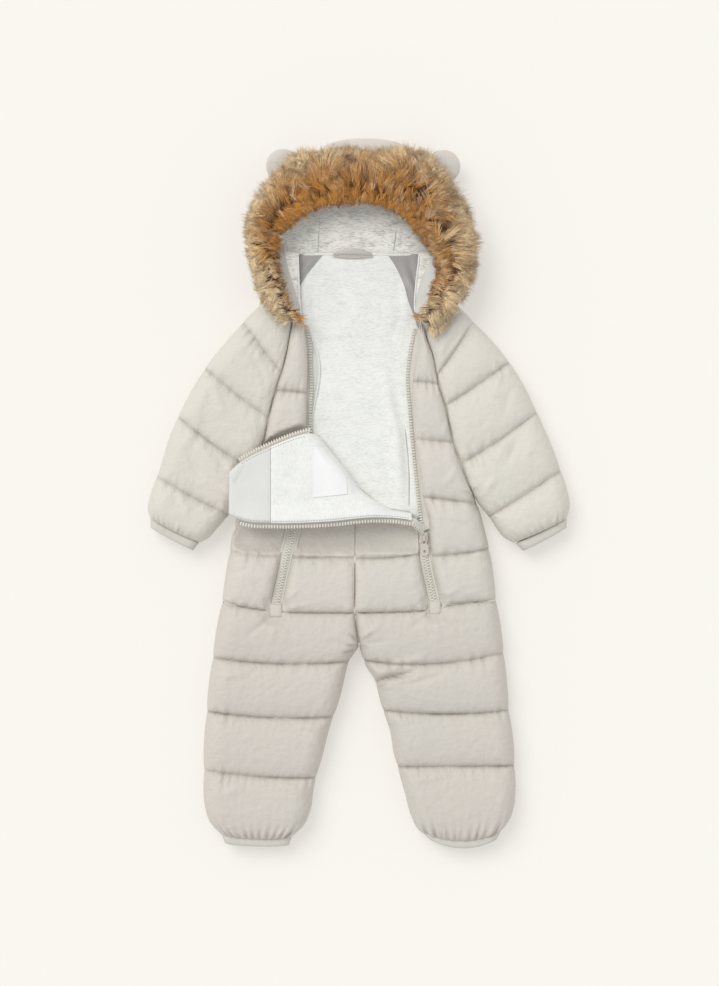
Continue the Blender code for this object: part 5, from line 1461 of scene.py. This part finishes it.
def make_corner_and_label():
    t, s = np.linspace(0.04, 1, 10)[:, None], np.linspace(0, 1, 9)[None, :]
    flat = [mix(CORNER[0][k], mix(CORNER[1][k], CORNER[2][k], s), t) for k in (0, 1)]
    grid = on_flap(np.stack(flat, axis=2), 0.6)
    corner = slab("turned_corner", grid, 0.5, "facing", "folded_front_corner")
    sheet(corner, grid)
    stops = np.linspace(0, 1, len(LABEL_RIGHT))
    t = np.linspace(0, 1, 24)
    left = np.stack([mix(LABEL_LEFT[0][k], LABEL_LEFT[1][k], t) for k in (0, 1)], axis=1)
    right = np.stack([smooth([(a, p[k]) for a, p in zip(stops, LABEL_RIGHT)], t) for k in (0, 1)],
                     axis=1)
    s = np.linspace(0, 1, 16)[None, :, None]
    flat = mix(left[:, None, :], right[:, None, :], s)
    grid = on_flap(flat, 0.9)
    grid[..., 2] += creased(flat[..., 0], flat[..., 1], ((-44, 52, -22, -2, 4.0, 0.7),))
    label = slab("plain_label", grid, 0.6, "label", "care_label")
    sheet(label, grid)
    beside = np.stack([np.full(40, -50.8), np.linspace(49, -2, 40)], axis=1)
    stitches("label_stitches", on_flap(beside, 1.1), 2.4, 1.6, 0.2, "pale_thread")
    beside = mix(CORNER[1] + (-1.6, 1.2), CORNER[2] + (-2.2, 1.6),
                 np.linspace(0.05, 0.95, 20)[:, None])
    stitches("corner_stitches", on_flap(beside, 0.9), 2.6, 1.6, 0.2, "pale_thread")


def edge_stitches(name, curve, sign, x_from, x_to, inset):
    x = np.linspace(x_from, x_to, 120)
    flat = np.stack([x, edge_y(curve, x) - sign * inset], axis=1)
    stitches(name, on_flap(flat, 0.35), 3.0, 1.9, 0.24, "thread")


make_corner_and_label()
# A thin line in the grey of the seam thread along the end of the folded front: a painted shadow of
# that edge.
welt("folded_front_end", on_flap(((33, -16.0), (45, -18.0), (55.6, -19.6), (56.6, -28.5)), 0.2),
     0.45, "thread_hood", 0.7)
edge_stitches("flap_stitches_bottom", FLAP_BOTTOM, -1, -132, 56, 3.4)
edge_stitches("flap_stitches_top", FLAP_TOP, 1, -128, -58, 3.8)
print("corner, label and topstitching on the folded front")

# %% [markdown]
# The zips are moulded ones: fat plastic teeth on a woven tape, one every 3.1 mm. A tooth is a
# small loft along its own length, root, neck and head, and a row of them follows the tape's
# edge. Where the zip is closed, the two rows mesh, half a step apart.

# %% zip tapes and teeth
PITCH = 3.1
TOOTH = ((-2.2, 0.62, 1.3), (-1.4, 0.86, 2.0), (0.4, 0.84, 2.1), (1.0, 0.62, 1.9),
         (1.5, 0.95, 2.0), (2.1, 0.60, 1.3))   # place across, half length along, height


def teeth_at(points, forward, across, up, verts, faces):
    """Adds one tooth at each point; its head looks along `across`."""
    section = ((-1.0, 0.0), (1.0, 0.0), (0.82, 1.0), (-0.82, 1.0))
    for p, f, a, u in zip(points, forward, across, up):
        start = len(verts)
        for place, half, high in TOOTH:
            verts += [p + a * place + f * (half * sx) + u * (high * sz) for sx, sz in section]
        faces += faces_of(len(TOOTH), 4, start).tolist()
        last = start + 4 * (len(TOOTH) - 1)
        faces += [[start + 3, start + 2, start + 1, start], [last, last + 1, last + 2, last + 3]]


def teeth_row(name, path, head):
    """One row of teeth along a path; head is 1 or -1, the side that the heads look to."""
    points = along(path, PITCH)
    forward, across, up = frames(points)
    verts, faces = [], []
    teeth_at(points, forward, across * head, up, verts, faces)
    piece = make_mesh(name, verts, faces if head < 0 else [f[::-1] for f in faces], "teeth",
                      smooth_angle=35)


def tape(name, path, half, replaces, offset=0.0):
    """A woven tape along a path, 2 * half wide, its middle moved across by offset."""
    path = along(path, 3.0)
    across = frames(path)[1]
    s = np.linspace(-1, 1, 7)
    grid = path[:, None, :] + across[:, None, :] * (offset + half * s)[None, :, None]
    slab(name, grid, 1.1, "tape", replaces)


CLOSED_FROM = {"left": (62, 62, 60), "right": (-36, -44, -46)}   # y of tape, teeth and stitches


def closed_zip(side):
    tape_from, teeth_from, stitches_from = CLOSED_FROM[side]
    rows = np.linspace(tape_from, -123, 80)
    middle = curve_path(ZIP_LINE[side], rows, 25.4)
    middle[:, 2] -= 3.0 * smoothstep(rows, -66, -44)
    tape(f"zip_tape_{side}", middle, 8.2, f"zip_closed_{side}")
    points = along(middle[middle[:, 1] < teeth_from], PITCH)
    forward, across, up = frames(points)
    verts, faces = [], []
    teeth_at(points - across * 1.15, forward, across, up, verts, faces)
    half_way = 0.5 * (points[1:] + points[:-1])
    turned, other = [], []
    teeth_at(half_way + across[1:] * 1.15, forward[1:], -across[1:], up[1:], turned, other)
    faces = [f[::-1] for f in faces] + [[k + len(verts) for k in f] for f in other]
    piece = make_mesh(f"zip_teeth_closed_{side}", verts + turned, faces, "teeth", smooth_angle=35)
    for sign, at in (("outer", -5.9), ("inner", 5.9)):
        line = middle + frames(middle)[1] * at
        line = line[line[:, 1] < stitches_from]
        stitches(f"zip_stitches_{side}_{sign}", line + (0, 0, 0.2), 2.6, 1.7, 0.22, "thread")


TEETH_LINE = {
    "left": ((-57, 182), (-54, 161), (-54, 145), (-53, 114), (-54, 93), (-54, 66)),
    "right": ((61, 182), (58.5, 172), (54.8, 151), (52.7, 127), (55.3, 93), (58, 59), (63.7, 4),
              (68, -30), (70, -40))}


def open_zips():
    rows = np.linspace(182, 66, 90)
    path = curve_path(TEETH_LINE["left"], rows, 19.3)
    tape("zip_tape_open_left", path, 4.0, "zip_open_left", 2.8)
    teeth_row("zip_teeth_open_left", path, -1)
    rows = np.linspace(182, -40, 120)
    path = curve_path(TEETH_LINE["right"], rows, 19.3)
    path[:, 2] += 5.0 * smoothstep(-rows, 22, 40)
    tape("zip_tape_open_right", path, 5.0, "zip_open_right", -4.2)
    teeth_row("zip_teeth_open_right", path, 1)
    x = np.linspace(-131, -55, 70)
    path = points_at(x, edge_y(FLAP_TOP, x) + 2.6, Z_FLAP + 2.6)
    tape("zip_tape_flap_top", path, 4.0, "zip_open_folded_top", 3.0)
    teeth_row("zip_teeth_flap_top", path, -1)
    x = np.linspace(-129, 58, 140)
    low = edge_y(FLAP_BOTTOM, x)
    path = points_at(x, low - 2.6,
                     Z_FLAP + 2.6 - 4.0 * smoothstep(x, 38, 58) + edge_lift(x, low))
    path = np.concatenate([path, ((63, -37.0, 35.0), (66.5, -39.5, 31.0), (68.6, -42.5, 28.0))])
    tape("zip_tape_flap_bottom", path, 4.0, "zip_open_folded_bottom", -3.0)
    teeth_row("zip_teeth_flap_bottom", path, 1)


closed_zip("left")
closed_zip("right")
open_zips()

# %% [markdown]
# A square of shell cloth is sewn over the lower end of each zip. The two sliders and the pull
# are hard parts that the CAD has already, so they only get their paint.

# %% zip ends, sliders and pull


def end_patch(side, cx, cy, half_wide, turn):
    """The square of cloth sewn over the end of a zip, with a box of stitches."""
    s = np.linspace(-1, 1, 13)
    u, v = np.meshgrid(s, -s)
    corner = np.clip(u**8 + v**8, 0, 1)
    x = cx + u * half_wide * (1 - 0.03 * v * v)
    y = cy - 0.5 + v * 8.7 + turn * u * half_wide
    z = 27.6 - 0.8 * corner + 0.5 * (1 - u**2) * (1 - v**2) - 0.8 * (abs(v) > 0.99)
    grid = points_at(x, y, z)
    piece = subdivide(slab(f"zip_patch_{side}", grid, 1.6, "shell", f"zip_end_{side}"))
    sheet(piece, grid)
    k = 0.80
    box = [(cx + a * half_wide * k, cy - 0.5 + b * 8.7 * k + turn * a * half_wide * k, 27.9)
           for a, b in ((-1, 1), (-1, -1), (1, -1), (1, 1), (-1, 1))]
    stitches(f"zip_patch_stitches_{side}", box, 2.2, 1.5, 0.2, "thread")


end_patch("left", -92.3, -127.5, 7.7, 0.02)
end_patch("right", 82.7, -124, 7.3, 0.0)
for name in ("slider_left", "slider_right", "pull_tab"):
    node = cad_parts[name]
    for material_slot in node.material_slots:
        material_slot.link = "OBJECT"
        material_slot.material = FINISHES["painted"].material
print("zip ends done; sliders and pull keep their CAD shape")

# %% [markdown]
# The hood is a padded shell of two sides and a middle, lined with jersey. Lying open, its inside
# is a shallow bowl that rises to the fur. Its sides are fans of lines from the neck to the rim,
# as on a paper pattern that is gathered at one edge.

# %% hood tables
# A fan line is its inner end x, y, its outer end x, y, and whether it is on an arm of the hood.
HOOD_FAN = {
    "left": ((-64, 193, -76, 200, 1), (-66, 214, -100, 218, 1), (-67, 240, -113, 238, 1),
             (-67, 263, -118, 264, 1), (-60, 265.5, -118, 290, 0), (-54, 264.6, -110, 318, 0),
             (-50, 264.6, -95, 342, 0), (-47.5, 264.6, -71, 366, 0), (-46, 264.6, -40, 383, 0)),
    "right": ((61, 200, 75, 194, 1), (61, 216, 98, 213, 1), (63, 238, 113, 234, 1),
              (65, 263, 120, 263, 1), (57, 265.5, 121, 290, 0), (50, 264.6, 113, 318, 0),
              (44, 264.6, 99, 344, 0), (39.5, 264.6, 79, 366, 0), (37, 264.6, 52, 380, 0))}
HOOD_PROFILE = ((0.0, 12.0, 23.0), (0.28, 12.5, 25.0), (0.52, 16.0, 28.0), (0.70, 27.0, 32.0),
                (0.82, 34.0, 34.0), (0.93, 33.0, 32.0), (1.0, 28.0, 27.0))  # at, floor, arm
HOOD_MIDDLE = ((264.6, 12.0, 0.0), (300, 12.5, 0.0), (330, 15.0, 0.0), (348, 25.0, 0.0),
               (360, 34.0, 0.0), (374, 35.0, 0.0), (383, 30.0, 4.0), (386.5, 22.0, 10.0))
MIDDLE_EDGE = {"left": ((-46, 264.6), (-40, 383), (-39, 392)),
               "right": ((37, 264.6), (52, 380), (53, 392))}
LINED_TO = 0.84       # how far the hood's lining reaches, under the fur


def smooth_rows(table, at):
    """Every column of a table of numbers, read smoothly at fractional row numbers."""
    table = np.asarray(table, float)
    return np.stack([smooth(list(enumerate(column)), at) for column in table.T], axis=1)


def fan_grid(side, s, lift=0.0, per_line=7, rows=(0, 8)):
    """Grid over a hood side: a row for each fan line, a column for each share s."""
    count = (rows[1] - rows[0]) * per_line + 1
    lines = smooth_rows(HOOD_FAN[side], np.linspace(*rows, count))
    xi, yi, xo, yo, arm = (lines[:, k, None] for k in range(5))
    arm = np.clip(arm, 0, 1)
    floor_z = smooth([(p[0], p[1]) for p in HOOD_PROFILE], s)[None, :]
    arm_z = smooth([(p[0], p[2]) for p in HOOD_PROFILE], s)[None, :]
    x, y = mix(xi, xo, s[None, :]), mix(yi, yo, s[None, :])
    return points_at(x, y, mix(floor_z, arm_z, arm) + lift), arm


print("hood fans:", {side: len(lines) for side, lines in HOOD_FAN.items()})

# %% hood shell and lining
HOOD_CREASES = {
    "left": ((-74, 262, -58, 205, 3.0, 0.8), (-60, 268, -84, 300, 4.0, 0.9),
             (-54, 268, -62, 310, 3.0, -0.8)),
    "right": ((70, 262, 63, 215, 3.0, 0.7), (52, 268, 76, 296, 4.0, 0.9),
              (44, 268, 52, 300, 3.0, -0.8))}
MIDDLE_CREASES = ((-30, 300, -26, 268, 3.0, -0.8), (10, 312, 16, 270, 6.0, 0.9),
                  (-12, 318, -8, 276, 5.0, 0.7), (24, 300, 30, 270, 3.0, -0.7))
UNDER_RIM = ((1.0, 9.0), (0.985, 5.5), (0.96, 3.0), (0.92, 1.2), (0.86, 0.0), (0.6, 0.0),
             (0.3, 0.0), (0.0, 0.0))        # share of the way out, height of the underside there


def hood_side(side):
    s = np.linspace(0, 1, 25)
    top, arm = fan_grid(side, s)
    under_s, lift = np.array(UNDER_RIM).T
    low, _ = fan_grid(side, under_s)
    low[..., 2] = mix(0.0, Z_FRONT, arm) + lift[None, :] * (1 - arm)
    piece = tube_mesh(f"hood_shell_{side}", np.concatenate([top, low], axis=1), "shell")
    padded(subdivide(piece), f"hood_side_{side}")
    s = np.linspace(0, LINED_TO, 30)
    grid, arm = fan_grid(side, s, 1.2)
    x, y = grid[..., 0], grid[..., 1]
    grid[..., 2] += drape(x, y, 51, 0.7, 30.0) + creased(x, y, HOOD_CREASES[side], 0.3)
    lining = slab(f"hood_jersey_{side}", grid, 1.0, "jersey_hood", f"hood_side_lining_{side}")
    sheet(lining, grid)
    along_arm = grid[:3 * 7 + 1, 0]
    welt(f"hood_bound_edge_{side}", along_arm + (0, 0, 0.2), 1.1, "jersey")


def hood_middle():
    rows = smooth_rows(HOOD_MIDDLE, np.linspace(0, 7, 44))
    s = np.linspace(0, 1, 33)

    def across(y, z, gap):
        xl, xr = (np.interp(y, [p[1] for p in MIDDLE_EDGE[k]], [p[0] for p in MIDDLE_EDGE[k]])
                  for k in ("left", "right"))
        bow = 5.0 * np.clip((y - 340) / 46, 0, 2)
        x = mix((xl + gap)[:, None], (xr - gap)[:, None], s[None, :])
        rise = 4 * s * (1 - s)
        corner = bow[:, None] * 0.75 * (abs(2 * s - 1) ** 4)[None, :]
        return points_at(x, y[:, None] + bow[:, None] * rise[None, :] - corner, z[:, None])

    top, low = across(rows[:, 0], rows[:, 1], 0.15), across(rows[:, 0], rows[:, 2], 0.15)
    piece = tube_mesh("hood_shell_middle", np.concatenate([top, low[:, ::-1]], axis=1), "shell")
    padded(piece, "hood_middle")
    rows = rows[rows[:, 0] <= 362]
    grid = across(rows[:, 0], rows[:, 1] + 1.2, 0.25)
    x, y = grid[..., 0], grid[..., 1]
    inside = smoothstep(y, 264.6, 276)
    grid[..., 2] += (drape(x, y, 52, 0.8, 34.0) + creased(x, y, MIDDLE_CREASES, 0.3)) * inside
    lining = slab("hood_jersey_middle", grid, 1.0, "jersey_hood", "hood_middle_lining")
    sheet(lining, grid)


hood_side("left")
hood_side("right")
hood_middle()
print("hood linings:", [name for name in SHEETS if name.startswith("hood_jersey")])

# %% [markdown]
# On both arms of the hood a strip of shell cloth faces the edge, between jersey and fur, and the
# right arm has a tab that covers the top of the zip. The ears are two small padded rounds. The
# hanging loop is a satin strip, sewn in at both ends so that it stands open as a narrow eye.

# %% facing strips, tab, ears and loop
neck = [(x, 264.2 + 0.4 * math.sin(x / 9), 16.6 + 0.3 * math.sin(x / 5))
        for x in range(-62, 61, 3)]
welt("neck_seam", neck, 1.5, "jersey", 0.7)
FACED_FROM = {"left": (0.0, 0.07, 0.19, 0.29, 0.40), "right": (0.0, 0.05, 0.11, 0.30, 0.42)}
TAB_SPAN = ((0.10, 0.62), (0.10, 0.44), (0.15, 0.40), (0.26, 0.38))
EARS = {"left": ((-84, 361), (0.0, 300)), "right": ((92, 360), (6.0, 300))}


def arm_strip(name, side, spans, rows, lift, finish, thick=0.9, seed=61, replaces=None):
    """A strip on an arm of the hood, between two shares of each fan line."""
    full, _ = fan_grid(side, np.linspace(0, 1, 101), lift, 8, rows)
    at = np.linspace(0, len(spans) - 1, full.shape[0])
    low, high = smooth_rows(spans, at).T
    s = mix(low[:, None], high[:, None], np.linspace(0, 1, 12)[None, :])
    grid = np.stack([[np.interp(s[i], np.linspace(0, 1, 101), full[i, :, k])
                      for k in range(3)] for i in range(len(s))]).transpose(0, 2, 1)
    grid[..., 2] += drape(grid[..., 0], grid[..., 1], seed, 0.35, 20.0)
    sheet(slab(name, grid, thick, finish, replaces), grid)
    return grid


for side in ("left", "right"):
    spans = [(low, 0.84) for low in FACED_FROM[side]]
    arm_strip(f"hood_facing_{side}", side, spans, (0, 4), 2.6, "shell", seed=62)
tab_grid = arm_strip("zip_top_tab", "right", TAB_SPAN, (0, 3), 4.2, "facing", 1.0, 63,
                     "chin_tab")
teeth_row("zip_top_teeth", tab_grid[6:17, -1] + (1.2, 0.0, -0.6), 1)


def ear(side):
    centre, root = (np.array(p, float) for p in EARS[side])
    out = (centre - root) / np.linalg.norm(centre - root)
    aside = np.array((-out[1], out[0]))
    radius, thick, rings = 19.0, 9.5, []
    for u in np.sin(np.linspace(-0.75, 1, 15) * math.pi / 2) * radius * 0.995:
        half = math.sqrt(radius**2 - u**2) if u > 0 else radius - 0.10 * u * u / radius
        high = thick * math.sqrt(max(0.01, 1 - (max(0.0, u) / radius) ** 2)) ** 0.8
        ring = []
        for a in np.linspace(0, 2 * math.pi, 25)[:-1]:
            x, y = centre + out * u + aside * half * math.cos(a)
            lift = 0.5 * high * math.copysign(abs(math.sin(a)) ** 0.8, math.sin(a))
            ring.append((x, y, 24.0 + lift))
        rings.append(ring)
    padded(subdivide(tube_mesh(f"ear_round_{side}", rings, "shell")), f"ear_{side}")


def hanging_loop():
    t = np.linspace(0, 1, 30)
    bulge = np.sin(np.pi * t)
    x = mix(-29, 14, t)
    for name, middle, half, z, replaces in (
            ("loop_upper", 264.0 + 3.6 * bulge**0.8, 1.0 + 2.1 * bulge, 19.0 + 1.4 * bulge,
             "hanging_loop"),
            ("loop_lower", 261.8 - 0.9 * bulge, 0.6 + 0.5 * bulge, 18.2 + 0.5 * bulge, None)):
        s = np.linspace(-1, 1, 9)
        y = middle[:, None] + half[:, None] * s[None, :]
        high = z[:, None] + 0.7 * (1 - s**2)[None, :]
        slab(name, points_at(x[:, None], y, high), 0.8, "satin", replaces)


def lie_on(path, names, aside=0.0):
    """The path lowered onto the highest of the named linings."""
    bpy.context.view_layer.update()
    for point in path:
        heights = []
        for name in names:
            seen, at, _, _ = bpy.data.objects[name].ray_cast(
                Vector((point[0] + aside, point[1], 200)) * MM, Vector((0, 0, -1)))
            heights += [at.z / MM] if seen else []
        point[2] = max(heights, default=20.0) + 0.1
    return path


def lining_seams_and_shadow_line():
    """The seams beside the middle of the hood's lining, and a painted shadow line beside the right
    zip, along the edge of the side jersey.
    """
    for side, top in (("left", 310), ("right", 292)):
        path = curve_path(MIDDLE_EDGE[side], np.linspace(266, top, 30), 0.0)
        lie_on(path, ["hood_jersey_middle"], 2 if side == "left" else -2)
        welt(f"hood_seam_{side}", path, 0.5, "thread_hood", 0.7)
    # a painted shadow line in the thread's grey, where the side jersey's edge lies on the back
    # lining
    y = np.linspace(72, -14, 30)
    x = smooth([(-14, 54.6), (33, 54.2), (50, 52.6), (72, 50.2)], y)
    path = lie_on(points_at(x, y, 0.0), ["side_jersey_right", "back_jersey"])
    welt("lining_seam_right", path, 0.55, "thread_hood", 0.7)


ear("left")
ear("right")
lining_seams_and_shadow_line()
hanging_loop()

# %% [markdown]
# The fur is long-haired and combed outwards. Real fur is clumps, not single hairs: the tips of
# a dozen hairs lean together, and between clumps one looks into a dark brown underfur. So a
# dark padded core gives the depth, and every clump is a bundle of thin three-sided hairs whose
# roots stand on the core. Along the opening a short dense orange fringe points inwards, in the
# middle the fur parts, and outside it lies in long pale tips. Hair curves would do as well, but
# as meshes the hairs also go into the exported model.

# %% fur finish


def fur_finish():
    fur = Finish("fur_hair", roughness=0.62, Specular_IOR_Level=0.35, Sheen_Weight=0.15)
    up, zone, chance = fur.painted("tone")
    patch = fur.noise(fur.place(), 34.0, 2.0)
    zoned = zone + (patch - 0.5) * 0.5
    body = fur.ramp(zoned, (0.05, linear(230, 162, 66)), (0.26, linear(218, 152, 68)),
                    (0.42, linear(206, 150, 84)), (0.60, linear(234, 190, 128)),
                    (0.80, linear(252, 228, 186)))
    outer = fur.ramp(zone, (0.66, 1), (0.95, 0.45))
    body = fur.blend(fur.ramp(chance, (0.05, 0.70), (0.44, 0)) * outer, body,
                     solid(118, 76, 38))
    greyer = fur.ramp(chance, (0.80, 0), (0.96, 0.6))
    mauve = fur.ramp(chance, (0.7, linear(180, 150, 120)), (1.0, linear(232, 212, 184)))
    body = fur.blend(greyer, body, mauve)
    clump = fur.noise(fur.place(), 15.0, 2.0)
    shade = fur.ramp(zone, (0.22, 0), (0.40, 1), (0.84, 1), (1.0, 0.3))
    body = fur.blend((clump * 3.5 - 1.78) * shade, body, solid(120, 86, 64))
    dark = solid(88, 54, 26)
    root = fur.ramp(up, (0.0, 0), (0.42, 1))
    colour = fur.blend(root, dark, body)
    tips = fur.ramp(up, (0.60, 0), (1.0, 1))
    pale = fur.blend(0.5, colour, solid(246, 222, 182))
    colour = fur.blend(tips * fur.ramp(zone, (0.2, 0.15), (0.6, 1)), colour, pale)
    return fur.set(Base_Color=colour)


def core_finish():
    core = Finish("fur_underfur", roughness=0.95)
    tone = core.noise(core.place(), 6.0, 3.0, 0.6)
    core.set(Base_Color=core.ramp(tone, (0.3, linear(80, 50, 26)), (0.7, linear(148, 98, 46))))
    return core.bump(core.noise(core.place(), 2.0, 2.0), 1.5, 0.8)


FINISHES["fur"] = fur_finish()
FINISHES["underfur"] = core_finish()
print("fur finishes made")

# %% fur core
FUR_LINES = (
    (-68, 188, -76, 192, 41), (-76, 204, -94, 199, 41), (-84, 228, -112, 219, 41),
    (-89, 254, -122, 252, 38), (-87, 280, -127, 287, 36), (-76, 294, -120, 319, 36),
    (-59, 305, -100, 351, 36), (-37, 314, -70, 377, 36), (-10, 317, -24, 382, 36),
    (18, 316, 32, 380, 36), (41, 307, 72, 380, 36), (57, 291, 102, 347, 36),
    (71, 273, 124, 309, 36), (82, 254, 132, 270, 36), (84, 236, 126, 235, 38),
    (78, 218, 110, 204, 41), (70, 188, 78, 178, 41))   # inner tips, outer tips, underside
PARTED = 0.34         # where across its width the fur parts


def pile_height(s, full):
    """Height of the underfur over the fur's underside, across its width."""
    inside = np.clip(1 - ((s - 0.46) / 0.44) ** 2, 0, 1)
    return full * 12.5 * np.sqrt(inside) + 2.0


def fur_place(u, s):
    """Point on the fur's underside, unit vectors outwards and along, and the width there."""
    rows = smooth_rows(FUR_LINES, u)
    ahead = smooth_rows(FUR_LINES, np.clip(u + 0.05, 0, 16))
    behind = smooth_rows(FUR_LINES, np.clip(u - 0.05, 0, 16))
    inner, outer = rows[:, 0:2], rows[:, 2:4]
    spread = outer - inner
    wide = np.linalg.norm(spread, axis=1)
    middle = 0.5 * ((ahead[:, 0:2] + ahead[:, 2:4]) - (behind[:, 0:2] + behind[:, 2:4]))
    forward = middle / (np.linalg.norm(middle, axis=1, keepdims=True) + 1e-9)
    return inner + spread * s[:, None], spread / wide[:, None], forward, wide, rows[:, 4]


def fur_core():
    u = np.linspace(0.12, 15.88, 150)
    section = np.linspace(0.10, 0.88, 15)
    rings = []
    for s in section:
        at, _, _, wide, under = fur_place(u, np.full(len(u), s))
        full = np.clip(wide / 34, 0.4, 1)
        rough = drape(at[:, 0], at[:, 1], 71, 1.2, 9.0)
        rings.append(points_at(*at.T, under + pile_height(s, full) - 2.5 + rough))
    for s in section[::-2]:
        at, _, _, _, under = fur_place(u, np.full(len(u), s))
        rings.append(points_at(*at.T, under + 0.5))
    core = tube_mesh("fur_core", np.array(rings).transpose(1, 0, 2), "underfur")
    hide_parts("fur_trim")


fur_core()

# %% [markdown]
# The hairs are computed all at once with numpy. A clump has a place on the core, a direction (in
# or out, turned a little by a slow random field so that neighbours agree), a length and a
# chance of being greyer. Its hairs start round it and close up towards the tip.

# %% fur hairs
CLUMPS, HAIRS = 2650, 12
HAIR_RADII = (0.34, 0.30, 0.20)
HAIR_STEPS = ((0.0, 1.0, -2.2), (0.30, 0.88, 2.6), (0.66, 0.52, 4.8), (1.0, 0.16, 3.8))
# share of the length, how far the hairs still are apart, height over the underfur


def clumps():
    """Places, directions and lengths of all clumps, in order along the trim."""
    local = np.random.default_rng(5)
    u = np.sort(local.uniform(0.05, 15.95, CLUMPS * 3))
    width = fur_place(u, np.zeros(len(u)))[3]
    keep = local.uniform(0, 1, len(u)) < width / 68
    u = u[keep][:CLUMPS * 3]
    u = u[np.sort(local.permutation(len(u))[:CLUMPS])]
    s = local.beta(1.15, 1.25, len(u)) * 0.80 + 0.06
    at, out, forward, wide, under = fur_place(u, s)
    parting = PARTED + drape(at[:, 0], at[:, 1], 74, 0.20, 24.0)
    inward = s < parting + local.normal(0, 0.10, len(u))
    swirl = drape(at[:, 0], at[:, 1], 73, 0.95, 46.0) + local.normal(0, 0.28, len(u))
    ends = smoothstep(u, 1.6, 0.0) - smoothstep(u, 14.4, 16.0)
    heading = np.where(inward, -1.0, 1.0)[:, None] * out * np.cos(swirl)[:, None]
    heading = heading + forward * np.sin(swirl)[:, None] * np.where(inward, 0.5, 1.0)[:, None]
    heading = heading - forward * 0.9 * ends[:, None]
    heading /= np.linalg.norm(heading, axis=1, keepdims=True)
    room = np.where(inward, s + 0.02, 0.99 - s) * wide
    longest = np.where(inward, 17.0, 36.0)
    length = np.clip(room, 8.0, longest) * local.uniform(0.72, 1.14, len(u))
    length = np.maximum(length, 21.0 * abs(ends) * local.uniform(0.6, 1.0, len(u)))
    right = smoothstep(at[:, 0], 40, 78)
    middle = np.exp(-((s - 0.52) / 0.16) ** 2)
    band = 0.22 * smoothstep(s, 0.42, 0.22) + 0.30 * smoothstep(s, 0.62, 0.84) - 0.05 * middle
    paler = 0.5 * np.maximum(abs(ends), smoothstep(u, 4.0, 2.2)) + right * band
    paler += 0.20 * smoothstep(at[:, 0], 66, 106) - 0.10 * smoothstep(at[:, 1], 340, 368)
    return dict(u=u, s=s, at=at, out=out, heading=heading, wide=wide, under=under,
                length=length, paler=paler,
                chance=local.uniform(0, 1, len(u)) ** (1 + 1.3 * right * middle),
                lift=local.uniform(0.55, 1.5, len(u)), bend=local.normal(0, 0.16, len(u)))


def hair_mesh(name, c, pick, local):
    """All hairs of the picked clumps as one mesh, with where-on-the-hair as a colour."""
    n = len(pick) * HAIRS
    k = np.repeat(pick, HAIRS)
    loose = local.normal(0, 1.9, (n, 2))
    radius = local.uniform(0.75, 1.35, n)
    length = c["length"][k] * local.uniform(0.80, 1.12, n)
    heading = c["heading"][k]
    aside = np.stack([-heading[:, 1], heading[:, 0]], axis=1)
    stray = (local.normal(0, 0.10, n) + c["bend"][k])[:, None]
    full = np.clip(c["wide"][k] / 34, 0.4, 1)
    points, zones = [], []
    for step, gather, lift in HAIR_STEPS:
        way = (length * step)[:, None]
        spot = c["at"][k] + loose * gather + heading * way + aside * (stray * way * step)
        s_now = c["s"][k] + (((spot - c["at"][k]) * c["out"][k]).sum(axis=1)) / c["wide"][k]
        beyond = np.maximum(np.maximum(-s_now, s_now - 1.0), 0.0) * c["wide"][k]
        z = c["under"][k] + pile_height(s_now, full) + lift * c["lift"][k] - 0.25 * beyond
        z = z + local.normal(0, 0.5, n) * step
        points.append(points_at(*spot.T, z))
        zones.append(s_now)
    points = np.stack(points, axis=1)
    forward = np.gradient(points, axis=1)
    forward /= np.linalg.norm(forward, axis=2, keepdims=True) + 1e-9
    side = np.cross(forward, np.array((0.0, 0.0, 1.0)))
    side /= np.linalg.norm(side, axis=2, keepdims=True) + 1e-9
    top = np.cross(side, forward)
    verts = np.empty((n, 10, 3))
    for ring, thick in enumerate(HAIR_RADII):
        for corner, turn in enumerate((0.5, 2.6, 4.7)):
            offset = side[:, ring] * math.cos(turn) + top[:, ring] * math.sin(turn)
            verts[:, 3 * ring + corner] = points[:, ring] + offset * (radius * thick)[:, None]
    verts[:, 9] = points[:, 3]
    base = np.arange(n)[:, None, None] * 10
    quads = np.array([[3 * r + a, 3 * r + (a + 1) % 3, 3 * r + 3 + (a + 1) % 3, 3 * r + 3 + a]
                      for r in range(2) for a in range(3)])[None]
    tips = np.array([[6, 7, 9], [7, 8, 9], [8, 6, 9]])[None]
    faces = (base + quads).reshape(-1, 4).tolist() + (base + tips).reshape(-1, 3).tolist()
    piece = make_mesh(name, verts.reshape(-1, 3), faces, "fur", smooth_angle=0)
    tone = np.ones((n, 10, 4), np.float32)
    tone[:, :, 0] = np.array([0, 0, 0, 0.33, 0.33, 0.33, 0.68, 0.68, 0.68, 1.0])[None]
    s_at = np.stack(zones, axis=1)[:, [0, 0, 0, 1, 1, 1, 2, 2, 2, 3]]
    paler = c["paler"][k] + local.normal(0, 0.08, n)
    tone[:, :, 1] = mix(c["s"][k][:, None], s_at, 0.55) + paler[:, None]
    tone[:, :, 2] = np.clip(c["chance"][k] + local.normal(0, 0.07, n), 0, 1)[:, None]
    layer = piece.data.color_attributes.new("tone", "FLOAT_COLOR", "POINT")
    layer.data.foreach_set("color", np.clip(tone, 0, 1).ravel())
    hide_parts("fur_trim")
    return n


def make_fur():
    c = clumps()
    local = np.random.default_rng(6)
    cuts = np.array_split(np.arange(len(c["u"])), 3)
    return {name: hair_mesh(name, c, pick, local)
            for name, pick in zip(("fur_hair_left", "fur_hair_top", "fur_hair_right"), cuts)}


print("hairs:", make_fur())

# %% [markdown]
# The script ends by saying that it is done.

# %% finish
print("done")
